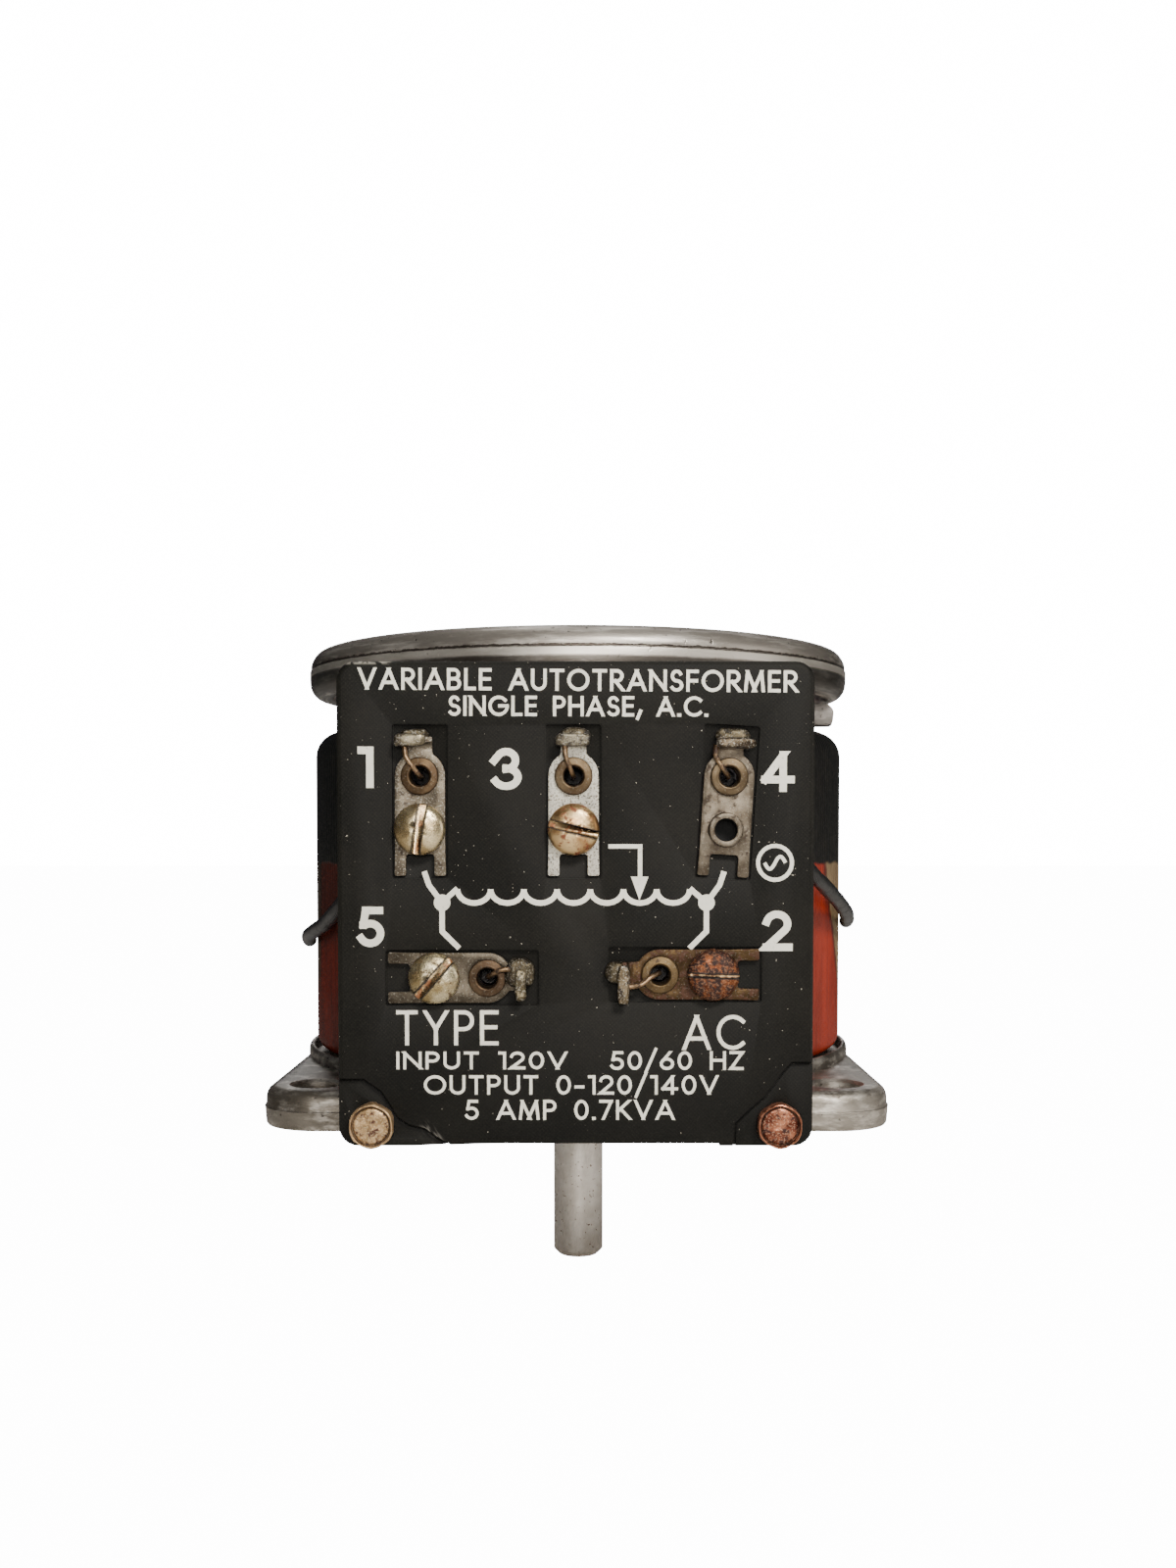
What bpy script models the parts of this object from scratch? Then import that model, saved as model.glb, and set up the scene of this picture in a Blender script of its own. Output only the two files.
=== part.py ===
"""Panel-mounting variable autotransformer (variac) of the 5 A class, as an assembly of separate pieces.

Metres, +Z up. The origin is on the shaft's axis, in the plane where the base meets its panel.
The terminal board faces -Y. The radiator, its shaft and the brush turn about +Z.
"""

import math

import bmesh
import bpy
from mathutils import Matrix, Vector

MM = 0.001
GAP = 0.3 * MM  # left between pieces that touch
RUNNING = 0.1 * MM  # radial clearance of the shaft in its bushings
MERGE = 0.00001

LARGE = 40  # segments of the coil, the radiator and the base's cup
ROUND = 28  # segments of a running fit
COARSE = 24  # segments of a plain ring
SMALL = 14  # segments of a screw or an eyelet
TINY = 10  # segments of a small hole

# Base casting
BASE_SIDE = 104 * MM
BASE_CORNER = 9.5 * MM
BASE_THICK = 6.5 * MM
HOLE_OFFSET = 43.2 * MM  # from the axis to each corner hole, along X and along Y
HOLE_RADIUS = 4.2 * MM
CUP_RADIUS = 51.6 * MM
CUP_INNER = 50.4 * MM
CUP_TOP = 8.7 * MM
JOIN_DEPTH = 2 * MM  # how far a joined shape sinks into the plate below it
TOWER_RADIUS = 10 * MM
TOWER_TOP = 60 * MM
TOWER_BORE = 7.3 * MM
TOWER_FOOT = 12 * MM
TOWER_CORE = 5 * MM  # hole left in the tower's blank, opened to the bore afterwards
RECESS_DEPTH = 3 * MM
RECESS_RADII = (19 * MM, 43 * MM)
COUNTERBORE_RADIUS = 9 * MM
COUNTERBORE_DEPTH = 4 * MM
CLAMP_HOLE_SPAN = (2.5 * MM, 12 * MM)

# Shaft, 3/8 inch
SHAFT_RADIUS = 4.7625 * MM
SHAFT_BOTTOM = -34 * MM
SHAFT_TOP = 86 * MM
SHAFT_CHAMFER = 1 * MM
GROOVE = (1.3 * MM, 2.7 * MM, 4.2 * MM)  # bottom, top and radius of the retaining groove
BUSHING_RADIUS = 7 * MM
BUSHING_BORE = SHAFT_RADIUS + RUNNING
LOWER_BUSHING = (COUNTERBORE_DEPTH, 14 * MM)
UPPER_BUSHING = (46 * MM, TOWER_TOP - GAP)

# Coil
COIL_RADIUS = 50 * MM
COIL_INNER = 19 * MM
COIL_BOTTOM = 7.9 * MM
COIL_TOP = 66.9 * MM
COIL_CORNER = 4.5 * MM
WIRE_LAYER = 1.2 * MM
CAP_WALL = 1.5 * MM
GAP_HALF_ANGLE = math.radians(14)  # half of the stretch without turns, at -Y
CAP_JOINT = 36 * MM  # height where the upper and lower core caps meet

# Clamp plate and its screws
PLATE_BOTTOM = COIL_TOP + GAP
PLATE_TOP = 68.8 * MM
PLATE_RADII = (11.5 * MM, 26 * MM)
CLAMP_CIRCLE = 14.5 * MM
CLAMP_ANGLES = (90, 210, 330)
CLAMP_SHANK = 1.6 * MM
CLAMP_HEAD = (3 * MM, 1.9 * MM)  # radius and height

# Stop post, on the dead stretch of the coil
STOP_POST = (0, -22.5 * MM)
STOP_RADIUS = 2.5 * MM
STOP_TOP = 74 * MM
STOP_SHANK = 1.4 * MM

# Radiator
RIM_TOP = 82.1 * MM
RIM_BOTTOM = 73 * MM
RIM_RADIUS = 51 * MM
WEB = (75.5 * MM, 78 * MM)
HUB_RADIUS = 8.5 * MM
HUB = (62.6 * MM, 86.8 * MM)
HUB_BORE = SHAFT_RADIUS + GAP
SLOT_COUNT = 8
SLOT_RADII = (22.5 * MM, 38.5 * MM)
SLOT_HALF = 3.6 * MM
RIB_SPAN = (7 * MM, 45.2 * MM)
RIB_HALF = 1.1 * MM
RIB_HEIGHT = 2.6 * MM
SET_SCREW_Z = 83.4 * MM
SET_SCREW_RADIUS = 2 * MM
SET_SCREW_SPAN = (5.1 * MM, 8.2 * MM)  # from the shaft's axis

# Brush gear, at rest a little forward of +X
BRUSH_ANGLE = math.radians(-8)
HOLDER_HALF = 3.2 * MM
HOLDER_TOP = WEB[0] - GAP
HOLDER_BOTTOM = 68.4 * MM
HOLDER_END = 49.3 * MM
HOLDER_SPOUT = (44.9 * MM, 72.4 * MM)  # where the part under the rim starts, and its top
BRUSH_SPAN = (32.4 * MM, 43.9 * MM)
BRUSH_HALF = 1.4 * MM
BRUSH_Z = (COIL_TOP + GAP, 72.6 * MM)
BOSS_SPAN = (20 * MM, 25.4 * MM)
BOSS_HALF = 6.2 * MM
BOSS_BOTTOM = 70.2 * MM
BRUSH_SCREW_AT = 30 * MM
BRUSH_SCREW_HOLE = 1.7 * MM
COLLECTOR = (9.4 * MM, 17.2 * MM, 71.5 * MM, 73 * MM)  # inner and outer radius, bottom, top
INSULATOR = (17.6 * MM, 73.3 * MM)  # outer radius and bottom

# Terminal board
BOARD_FRONT = -63.5 * MM
BOARD_BACK = -52.4 * MM
BOARD_HALF = 36.5 * MM
BOARD_BOTTOM = 0.1 * MM  # just clear of the panel
BOARD_TOP = 74.5 * MM
BOARD_CORNER = 3.5 * MM
BOARD_FACE = 3 * MM
BOARD_WALL = 2.5 * MM
POCKET_DEPTH = 0.8 * MM
PAD_STEP = 1.1 * MM
PAD_HALF = 8 * MM
PAD_TOP = 10.5 * MM
BOARD_SCREW_X = 31.3 * MM
BOARD_SCREW_Z = 3.5 * MM
BOARD_SCREW_HOLE = 2.4 * MM
BOARD_SCREW_STEM = 2.1 * MM
BOARD_SCREW_HEAD = (3.5 * MM, 2.6 * MM)  # radius over the corners, and height
BOSS_WIDE = 5.1 * MM

# Terminals: name, eyelet's x and z, turn seen from the front in degrees, screw fitted
TERMINALS = (
    ("1", -23.7 * MM, 57.0 * MM, 0, True),
    ("2", 12.9 * MM, 26.7 * MM, 90, True),
    ("3", -0.3 * MM, 57.0 * MM, 0, True),
    ("4", 23.4 * MM, 56.9 * MM, -3.5, False),
    ("5", -13.5 * MM, 26.2 * MM, -90, True),
)
PLATE_BACK = BOARD_FRONT + POCKET_DEPTH - GAP
TERMINAL_THICK = 0.8 * MM
TERMINAL_HALF = 3.85 * MM
SCREW_BELOW = 8.1 * MM  # from a terminal's eyelet to its screw
SCREW_HEAD = 3.95 * MM
SLOT_TURN = {"1": 81, "2": 88, "3": -14, "5": 138}  # each screw's slot, in degrees
FORK_BASE = 11.8 * MM
FORK_END = 15.3 * MM
FORK_INNER = 2.2 * MM
SHOULDER = (0.9 * MM, 3 * MM, 2.2 * MM)  # start and top of the shoulders, half-width at the top
LUG = (4.6 * MM, 7.3 * MM, 2.75 * MM, 2.4 * MM)  # start, end, half-width, reach
EYELET_HOLE = 1.7 * MM
EYELET_FLANGE = 3.05 * MM
EYELET_BARREL = 2.2 * MM
WIRE_RADIUS = 0.5 * MM
SLEEVE_RADIUS = 1.3 * MM

# Sleeved leads behind the board, in millimetres: 1 and 4 come round the coil's sides
LEAD_ROUTES = {
    "1": [
        (-28, -53.6, 52.5), (-32.8, -50.3, 45), (-38.2, -45.5, 37.2), (-42.6, -36.5, 33.2),
        (-46, -28.2, 31.2), (-48.6, -20, 29.8), (-50, -13.6, 28.8), (-50.6, -9.2, 28),
    ],
    "4": [
        (28, -53.6, 53), (32.8, -50.3, 47.5), (38.2, -45.5, 42.2), (42.6, -36.5, 38.8),
        (46, -28.2, 36.2), (48.6, -20, 34), (50, -13.6, 32.6), (50.6, -9.2, 31.6),
    ],
    "5": [(-16, -54.5, 25), (-18.4, -51.5, 20), (-18.9, -48.6, 16.5)],
    "2": [(16, -54.5, 25), (18.4, -51.5, 20), (18.9, -48.6, 16.5)],
    "3": [(1.5, -56.8, 60), (5.7, -58.1, 63)],
}

# Contact strip from the board to the collector ring
STRIP_X = (3.2 * MM, 8.2 * MM)
STRIP_THICK = 0.6 * MM
STRIP_START = 60 * MM
STRIP_LEVEL = (68.9 * MM, 69.5 * MM)  # bottom and top of the run over the coil
STRIP_CONTACT = (70.6 * MM, 71.2 * MM)  # bottom and top where it rubs on the collector ring


def start_scene():
    for obj in list(bpy.data.objects):
        bpy.data.objects.remove(obj, do_unlink=True)
    for name in ("variac_autotransformer", "cutters"):
        group = bpy.data.collections.new(name)
        bpy.context.scene.collection.children.link(group)
    return bpy.data.collections["variac_autotransformer"], bpy.data.collections["cutters"]


PARTS, CUTTERS = start_scene()


def finish_material(name, color, roughness, metallic):
    material = bpy.data.materials.new(name)
    material.use_nodes = True
    shader = material.node_tree.nodes["Principled BSDF"]
    shader.inputs["Base Color"].default_value = (*color, 1)
    shader.inputs["Roughness"].default_value = roughness
    shader.inputs["Metallic"].default_value = metallic
    material.diffuse_color = (*color, 1)
    return material


ALUMINIUM = ((0.45, 0.44, 0.42), 0.5, 1)
STEEL = ((0.42, 0.41, 0.39), 0.4, 1)
TIN = ((0.36, 0.32, 0.26), 0.45, 1)
BRASS = ((0.55, 0.42, 0.2), 0.4, 1)
BRONZE = ((0.42, 0.27, 0.14), 0.45, 1)
PHENOLIC = ((0.018, 0.017, 0.017), 0.5, 0)
FIBRE = ((0.09, 0.05, 0.035), 0.7, 0)
ENAMEL = ((0.32, 0.035, 0.02), 0.4, 0)
CARBON = ((0.03, 0.03, 0.032), 0.5, 0)
SLEEVING = ((0.012, 0.012, 0.012), 0.5, 0)


def place(name, mesh, finish, parent=None):
    """Adds a mesh as a named piece with a material of its own."""
    obj = bpy.data.objects.new(name, mesh)
    PARTS.objects.link(obj)
    mesh.materials.append(finish_material(name, *finish))
    mesh.shade_smooth()
    mesh.set_sharp_from_angle(angle=math.radians(35))
    obj.parent = parent
    return obj


def as_cutter(obj):
    """Turns a piece into a guide that is only used to cut or to join."""
    for group in obj.users_collection:
        group.objects.unlink(obj)
    CUTTERS.objects.link(obj)
    obj.hide_render = True
    obj.display_type = "WIRE"
    return obj


def boolean(target, tool, operation):
    modifier = target.modifiers.new(operation.lower(), "BOOLEAN")
    modifier.operation = operation
    modifier.solver = "EXACT"
    modifier.object = as_cutter(tool)


def cut(target, *tools):
    for tool in tools:
        boolean(target, tool, "DIFFERENCE")


def join(target, *tools):
    for tool in tools:
        boolean(target, tool, "UNION")


def bevel(obj, width, segments=1, angle=35):
    modifier = obj.modifiers.new("edges", "BEVEL")
    modifier.width = width
    modifier.segments = segments
    modifier.limit_method = "ANGLE"
    modifier.angle_limit = math.radians(angle)


def turn(obj, segments):
    screw = obj.modifiers.new("turn", "SCREW")
    screw.steps = segments
    screw.render_steps = segments
    screw.use_merge_vertices = True
    screw.merge_threshold = MERGE
    screw.use_smooth_shade = True
    return obj


def turned(name, profile, finish, segments=COARSE, parent=None, axis="Z"):
    """A profile of (radius, height) points turned about an axis; it runs down its outer side.

    A profile that starts and ends at radius 0 makes a solid; any other is closed into a ring.
    """
    mesh = bpy.data.meshes.new(name)
    count = len(profile)
    edges = [(i, i + 1) for i in range(count - 1)]
    if profile[0][0] > 0:
        edges.append((count - 1, 0))
    mesh.from_pydata([(r, 0, z) for r, z in profile], edges, [])
    obj = turn(place(name, mesh, finish, parent), segments)
    if axis == "Y":
        obj.rotation_euler = (math.radians(90), 0, 0)
    return obj


def ring(inner, outer, bottom, top):
    """The profile of a plain ring, running down its outer side."""
    return [(outer, top), (outer, bottom), (inner, bottom), (inner, top)]


def rod(radius, bottom, top):
    """The profile of a plain solid cylinder."""
    return [(0, top), (radius, top), (radius, bottom), (0, bottom)]


def block(name, low, high, finish=PHENOLIC, parent=None):
    """A box between two corners."""
    mesh = bpy.data.meshes.new(name)
    shape = bmesh.new()
    bmesh.ops.create_cube(shape, size=1)
    size = [b - a for a, b in zip(low, high)]
    middle = [(a + b) / 2 for a, b in zip(low, high)]
    bmesh.ops.scale(shape, vec=size, verts=shape.verts)
    bmesh.ops.translate(shape, vec=middle, verts=shape.verts)
    shape.to_mesh(mesh)
    shape.free()
    return place(name, mesh, finish, parent)


def curve_to_mesh(curve_object):
    """Replaces a curve object by a closed mesh object at the same place."""
    bpy.context.view_layer.update()
    graph = bpy.context.evaluated_depsgraph_get()
    mesh = bpy.data.meshes.new_from_object(curve_object.evaluated_get(graph))
    shape = bmesh.new()
    shape.from_mesh(mesh)
    bmesh.ops.remove_doubles(shape, verts=shape.verts, dist=MERGE)
    shape.to_mesh(mesh)
    shape.free()
    mesh.materials.clear()
    matrix = curve_object.matrix_world.copy()
    bpy.data.objects.remove(curve_object, do_unlink=True)
    return mesh, matrix


def outline(name, loops, thickness, finish, parent=None):
    """A flat plate from closed 2D outlines in its own XY plane; further loops are holes."""
    curve = bpy.data.curves.new(name, "CURVE")
    curve.dimensions = "2D"
    curve.fill_mode = "BOTH"
    curve.extrude = thickness / 2
    for points in loops:
        spline = curve.splines.new("POLY")
        spline.points.add(len(points) - 1)
        for point, (x, y) in zip(spline.points, points):
            point.co = (x, y, 0, 1)
        spline.use_cyclic_u = True
    guide = bpy.data.objects.new(name + "_outline", curve)
    bpy.context.scene.collection.objects.link(guide)
    mesh, matrix = curve_to_mesh(guide)
    obj = place(name, mesh, finish, parent)
    obj.matrix_world = matrix
    return obj


def tube(name, points, radius, finish, parent=None):
    """A round wire or sleeve along a smooth curve through the given points."""
    curve = bpy.data.curves.new(name, "CURVE")
    curve.dimensions = "3D"
    curve.bevel_depth = radius
    curve.bevel_resolution = 2
    curve.use_fill_caps = True
    path = smooth_path(points, max(3 * radius, 1.2 * MM))
    spline = curve.splines.new("POLY")
    spline.points.add(len(path) - 1)
    for point, where in zip(spline.points, path):
        point.co = (*where, 1)
    curve.materials.append(finish_material(name, *finish))
    obj = bpy.data.objects.new(name, curve)
    PARTS.objects.link(obj)
    obj.parent = parent
    return obj


def smooth_path(points, step):
    """Points about a step apart on a Catmull-Rom curve through the route's own points."""
    knots = [Vector(p) for p in points]
    knots = [2 * knots[0] - knots[1], *knots, 2 * knots[-1] - knots[-2]]
    path = []
    for a, b, c, d in zip(knots, knots[1:], knots[2:], knots[3:]):
        count = max(1, round((c - b).length / step))
        for i in range(count):
            t = i / count
            path.append(
                0.5 * (2 * b + (c - a) * t + (2 * a - 5 * b + 4 * c - d) * t**2
                       + (3 * b - a - 3 * c + d) * t**3)
            )
    path.append(knots[-2])
    return path


def arc(centre, radius, start, end, steps):
    """Points on an arc, angles in degrees."""
    points = []
    for i in range(steps + 1):
        angle = math.radians(start + (end - start) * i / steps)
        points.append((centre[0] + radius * math.cos(angle), centre[1] + radius * math.sin(angle)))
    return points


def rounded_rectangle(low, high, radius, steps=4):
    points = arc((high[0] - radius, high[1] - radius), radius, 0, 90, steps)
    points += arc((low[0] + radius, high[1] - radius), radius, 90, 180, steps)
    points += arc((low[0] + radius, low[1] + radius), radius, 180, 270, steps)
    points += arc((high[0] - radius, low[1] + radius), radius, 270, 360, steps)
    return points


def board_side(obj, back):
    """Stands a flat outline up on the board's side: its Y becomes +Z and its +Z becomes -Y."""
    obj.rotation_euler = (math.radians(90), 0, 0)
    obj.location = (0, back, 0)
    return obj


def at_angle(obj, angle):
    """Turns a piece that was drawn along +X about the shaft's axis."""
    obj.rotation_euler = (obj.rotation_euler[0], obj.rotation_euler[1], angle)
    return obj


def base_casting():
    half = BASE_SIDE / 2
    loop = rounded_rectangle((-half, -half), (half, half), BASE_CORNER, 5)
    base = outline("base_casting", [loop], BASE_THICK, ALUMINIUM)
    base.location.z = BASE_THICK / 2
    bevel(base, 0.8 * MM)
    low = BASE_THICK - JOIN_DEPTH
    cup = turned(
        "cup_ring",
        [
            (CUP_RADIUS - 0.7 * MM, CUP_TOP), (CUP_RADIUS, CUP_TOP - 0.8 * MM), (CUP_RADIUS, low),
            (CUP_INNER, low), (CUP_INNER, CUP_TOP),
        ],
        ALUMINIUM,
        LARGE,
    )
    tower = turned(
        "tower",
        [(TOWER_RADIUS, TOWER_TOP), (TOWER_RADIUS, 9 * MM), (TOWER_FOOT, low + MM), (TOWER_FOOT, low),
         (TOWER_CORE, low), (TOWER_CORE, TOWER_TOP)],
        ALUMINIUM,
    )
    join(base, cup, tower)
    bore = turned("tower_bore", rod(TOWER_BORE, -MM, TOWER_TOP + MM), ALUMINIUM)
    counterbore = turned("counterbore", rod(COUNTERBORE_RADIUS, -MM, COUNTERBORE_DEPTH), ALUMINIUM)
    cut(base, bore, counterbore)
    for i, (x, y) in enumerate(((1, 1), (-1, 1), (-1, -1), (1, -1))):
        hole = turned(f"corner_hole_{i + 1}", rod(HOLE_RADIUS, -MM, BASE_THICK + MM), ALUMINIUM, SMALL)
        hole.location = (x * HOLE_OFFSET, y * HOLE_OFFSET, 0)
        cut(base, hole)
    inner, outer = RECESS_RADII
    for i in range(6):
        middle = 60 * i
        loop = arc((0, 0), outer, middle - 26, middle + 26, 4)
        loop += arc((0, 0), inner, middle + 22, middle - 22, 2)
        recess = outline(f"recess_{i + 1}", [loop], 2 * RECESS_DEPTH, ALUMINIUM)
        cut(base, recess)
    for i, angle in enumerate(CLAMP_ANGLES):
        hole = turned(f"clamp_hole_{i + 1}", rod(CLAMP_SHANK + GAP, *CLAMP_HOLE_SPAN), ALUMINIUM, TINY)
        hole.location = spot(CLAMP_CIRCLE, angle)
        cut(base, hole)
    for side in (-1, 1):
        profile = rod(BOARD_SCREW_HOLE, 0, 14 * MM)
        hole = turned(f"board_screw_hole_{side}", profile, ALUMINIUM, TINY, axis="Y")
        hole.location = (side * BOARD_SCREW_X, -40 * MM, BOARD_SCREW_Z)
        cut(base, hole)


def spot(radius, degrees, z=0):
    angle = math.radians(degrees)
    return (radius * math.cos(angle), radius * math.sin(angle), z)


def bearings():
    for name, (bottom, top) in (("lower_bushing", LOWER_BUSHING), ("upper_bushing", UPPER_BUSHING)):
        turned(name, ring(BUSHING_BORE, BUSHING_RADIUS, bottom, top), BRONZE, ROUND)


def coil_profile(inset, corner_steps):
    """The coil's section in (radius, height), shrunk by an inset: a rounded rectangle, counter-clockwise."""
    low = (COIL_INNER + inset, COIL_BOTTOM + inset)
    high = (COIL_RADIUS - inset, COIL_TOP - inset)
    return rounded_rectangle(low, high, COIL_CORNER - inset, corner_steps)


def winding():
    """The layer of wire: a hollow ring of rounded rectangular section, open over the dead stretch."""
    outer = list(reversed(coil_profile(0, 2)))
    inner = coil_profile(WIRE_LAYER, 1)
    mesh = bpy.data.meshes.new("winding")
    count = len(outer)
    total = count + len(inner)
    edges = [(i, (i + 1) % count) for i in range(count)]
    edges += [(i, i + 1 if i + 1 < total else count) for i in range(count, total)]
    mesh.from_pydata([(r, 0, z) for r, z in outer + inner], edges, [])
    coil = turn(place("winding", mesh, ENAMEL), LARGE)
    far = 90 * MM
    side = far * math.tan(GAP_HALF_ANGLE)
    wedge = outline("dead_stretch", [[(0, -MM), (-side, -far), (side, -far)]], 160 * MM, ENAMEL)
    cut(coil, wedge)


def core_and_caps():
    outside = WIRE_LAYER + GAP
    outer = COIL_RADIUS - outside
    inner = COIL_INNER + outside
    bottom = COIL_BOTTOM + outside
    top = COIL_TOP - outside
    chamfer = COIL_CORNER - WIRE_LAYER
    wall = CAP_WALL
    joint = CAP_JOINT - GAP / 2
    turned(
        "core_cap_lower",
        [
            (outer, joint), (outer, bottom + chamfer), (outer - chamfer, bottom),
            (inner + chamfer, bottom), (inner, bottom + chamfer), (inner, joint),
            (inner + wall, joint), (inner + wall, bottom + chamfer + wall / 2),
            (outer - wall, bottom + chamfer + wall / 2), (outer - wall, joint),
        ],
        PHENOLIC,
    )
    joint = CAP_JOINT + GAP / 2
    turned(
        "core_cap_upper",
        [
            (outer - chamfer, top), (outer, top - chamfer), (outer, joint), (outer - wall, joint),
            (outer - wall, top - chamfer - wall / 2), (inner + wall, top - chamfer - wall / 2),
            (inner + wall, joint), (inner, joint), (inner, top - chamfer), (inner + chamfer, top),
        ],
        PHENOLIC,
    )
    clear = wall + GAP
    rise = chamfer + wall / 2 + GAP
    turned("core", ring(inner + clear, outer - clear, bottom + rise, top - rise), STEEL)
    washer = ring(COIL_INNER - MM, COIL_RADIUS - 2 * MM, BASE_THICK + GAP, COIL_BOTTOM - GAP)
    turned("insulating_washer", washer, FIBRE)


def clamp_plate():
    inner, outer = PLATE_RADII
    plate = turned("coil_clamp_plate", ring(inner, outer, PLATE_BOTTOM, PLATE_TOP), FIBRE)
    radius, height = CLAMP_HEAD
    under = PLATE_TOP + GAP
    for i, angle in enumerate(CLAMP_ANGLES):
        hole = turned(f"plate_hole_{i + 1}", rod(CLAMP_SHANK + GAP, 60 * MM, 75 * MM), FIBRE, TINY)
        hole.location = spot(CLAMP_CIRCLE, angle)
        cut(plate, hole)
        screw = turned(
            f"clamp_screw_{i + 1}",
            [
                (0, under + height), (radius * 0.8, under + height), (radius, under + height * 0.6),
                (radius, under), (CLAMP_SHANK, under), (CLAMP_SHANK, 3 * MM), (0, 3 * MM),
            ],
            STEEL,
            SMALL,
        )
        screw.location = spot(CLAMP_CIRCLE, angle)
        slot = block(
            f"clamp_slot_{i + 1}",
            (-4 * MM, -0.4 * MM, under + height - 0.9 * MM),
            (4 * MM, 0.4 * MM, under + height + MM),
        )
        slot.location = screw.location
        cut(screw, slot)
    hole = turned("post_hole", rod(STOP_SHANK + GAP, 60 * MM, 75 * MM), FIBRE, TINY)
    hole.location = (*STOP_POST, 0)
    cut(plate, hole)
    post = turned(
        "stop_post",
        [
            (0, STOP_TOP), (STOP_RADIUS * 0.8, STOP_TOP), (STOP_RADIUS, STOP_TOP - 0.5 * MM),
            (STOP_RADIUS, under), (STOP_SHANK, under), (STOP_SHANK, PLATE_BOTTOM), (0, PLATE_BOTTOM),
        ],
        STEEL,
        SMALL,
    )
    post.location = (*STOP_POST, 0)


def shaft(rotor):
    bottom, top, groove = GROOVE
    small = SHAFT_RADIUS - SHAFT_CHAMFER
    turned(
        "shaft",
        [
            (0, SHAFT_TOP), (SHAFT_RADIUS - 0.5 * MM, SHAFT_TOP), (SHAFT_RADIUS, SHAFT_TOP - 0.5 * MM),
            (SHAFT_RADIUS, top), (groove, top), (groove, bottom), (SHAFT_RADIUS, bottom),
            (SHAFT_RADIUS, SHAFT_BOTTOM + SHAFT_CHAMFER), (small, SHAFT_BOTTOM), (0, SHAFT_BOTTOM),
        ],
        STEEL,
        ROUND,
        rotor,
    )
    clip = arc((0, 0), 8 * MM, 30, 330, 20) + arc((0, 0), groove + GAP, 320, 40, 16)
    ring_clip = outline("retaining_ring", [clip], 0.8 * MM, STEEL, rotor)
    ring_clip.location.z = (bottom + top) / 2
    turned("lower_thrust_washer", ring(HUB_BORE, 8.2 * MM, 2.7 * MM, 3.7 * MM), BRONZE, COARSE, rotor)
    washer = ring(HUB_BORE, HUB_RADIUS, TOWER_TOP + GAP, 61 * MM)
    turned("upper_thrust_washer", washer, BRONZE, COARSE, rotor)
    turned("spring_washer", ring(HUB_BORE, HUB_RADIUS - MM, 61.3 * MM, 62.3 * MM), STEEL, COARSE, rotor)


def radiator(rotor):
    low, high = WEB
    bottom, top = HUB
    disc = turned(
        "radiator",
        [
            (47 * MM, RIM_TOP), (49.4 * MM, 81.4 * MM), (50.3 * MM, 78.6 * MM), (RIM_RADIUS, 78.1 * MM),
            (RIM_RADIUS, 77 * MM), (50.5 * MM, 75.6 * MM), (49.8 * MM, 74.1 * MM), (48.3 * MM, RIM_BOTTOM),
            (46.6 * MM, RIM_BOTTOM), (45.4 * MM, low), (HUB_RADIUS, low), (HUB_RADIUS, bottom),
            (HUB_BORE, bottom), (HUB_BORE, top), (HUB_RADIUS - 0.5 * MM, top), (HUB_RADIUS, top - 0.5 * MM),
            (HUB_RADIUS + 0.6 * MM, high), (44.6 * MM, high), (45.4 * MM, 81 * MM),
        ],
        ALUMINIUM,
        LARGE,
        rotor,
    )
    inner, outer = BOSS_SPAN
    corners = (inner, -BOSS_HALF, BOSS_BOTTOM), (outer, BOSS_HALF, low + MM)
    boss = block("stop_boss", *corners, parent=rotor)
    join(disc, at_angle(boss, BRUSH_ANGLE))
    inner, outer = SLOT_RADII
    step = 2 * math.pi / SLOT_COUNT
    for i in range(1, SLOT_COUNT):
        low_end, high_end = RIB_SPAN
        rib = block(
            f"rib_{i}",
            (low_end, -RIB_HALF, high - MM),
            (high_end, RIB_HALF, high + RIB_HEIGHT),
            parent=rotor,
        )
        join(disc, at_angle(rib, BRUSH_ANGLE + step * i))
    for i in range(SLOT_COUNT):
        loop = arc((outer, 0), SLOT_HALF, -90, 90, 4) + arc((inner, 0), SLOT_HALF, 90, 270, 4)
        slot = outline(f"slot_{i + 1}", [loop], 12 * MM, ALUMINIUM, rotor)
        slot.location.z = low
        cut(disc, at_angle(slot, BRUSH_ANGLE + step * (i + 0.5)))
    hole = turned("brush_screw_hole", rod(BRUSH_SCREW_HOLE, 0, 20 * MM), ALUMINIUM, TINY, rotor)
    hole.location = spot(BRUSH_SCREW_AT, math.degrees(BRUSH_ANGLE), 66 * MM)
    cut(disc, at_angle(hole, BRUSH_ANGLE))
    inner, outer = SET_SCREW_SPAN
    for i in range(2):
        facing = BRUSH_ANGLE + math.pi / 2 * i
        profile = rod(SET_SCREW_RADIUS + GAP, 3 * MM, 12 * MM)
        hole = turned(f"set_screw_hole_{i + 1}", profile, ALUMINIUM, TINY, rotor)
        hole.rotation_euler = (0, math.radians(90), facing)
        hole.location.z = SET_SCREW_Z
        cut(disc, hole)
        profile = rod(SET_SCREW_RADIUS, inner, outer)
        screw = turned(f"hub_set_screw_{i + 1}", profile, STEEL, SMALL, rotor)
        screw.rotation_euler = (0, math.radians(90), facing)
        screw.location.z = SET_SCREW_Z


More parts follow.
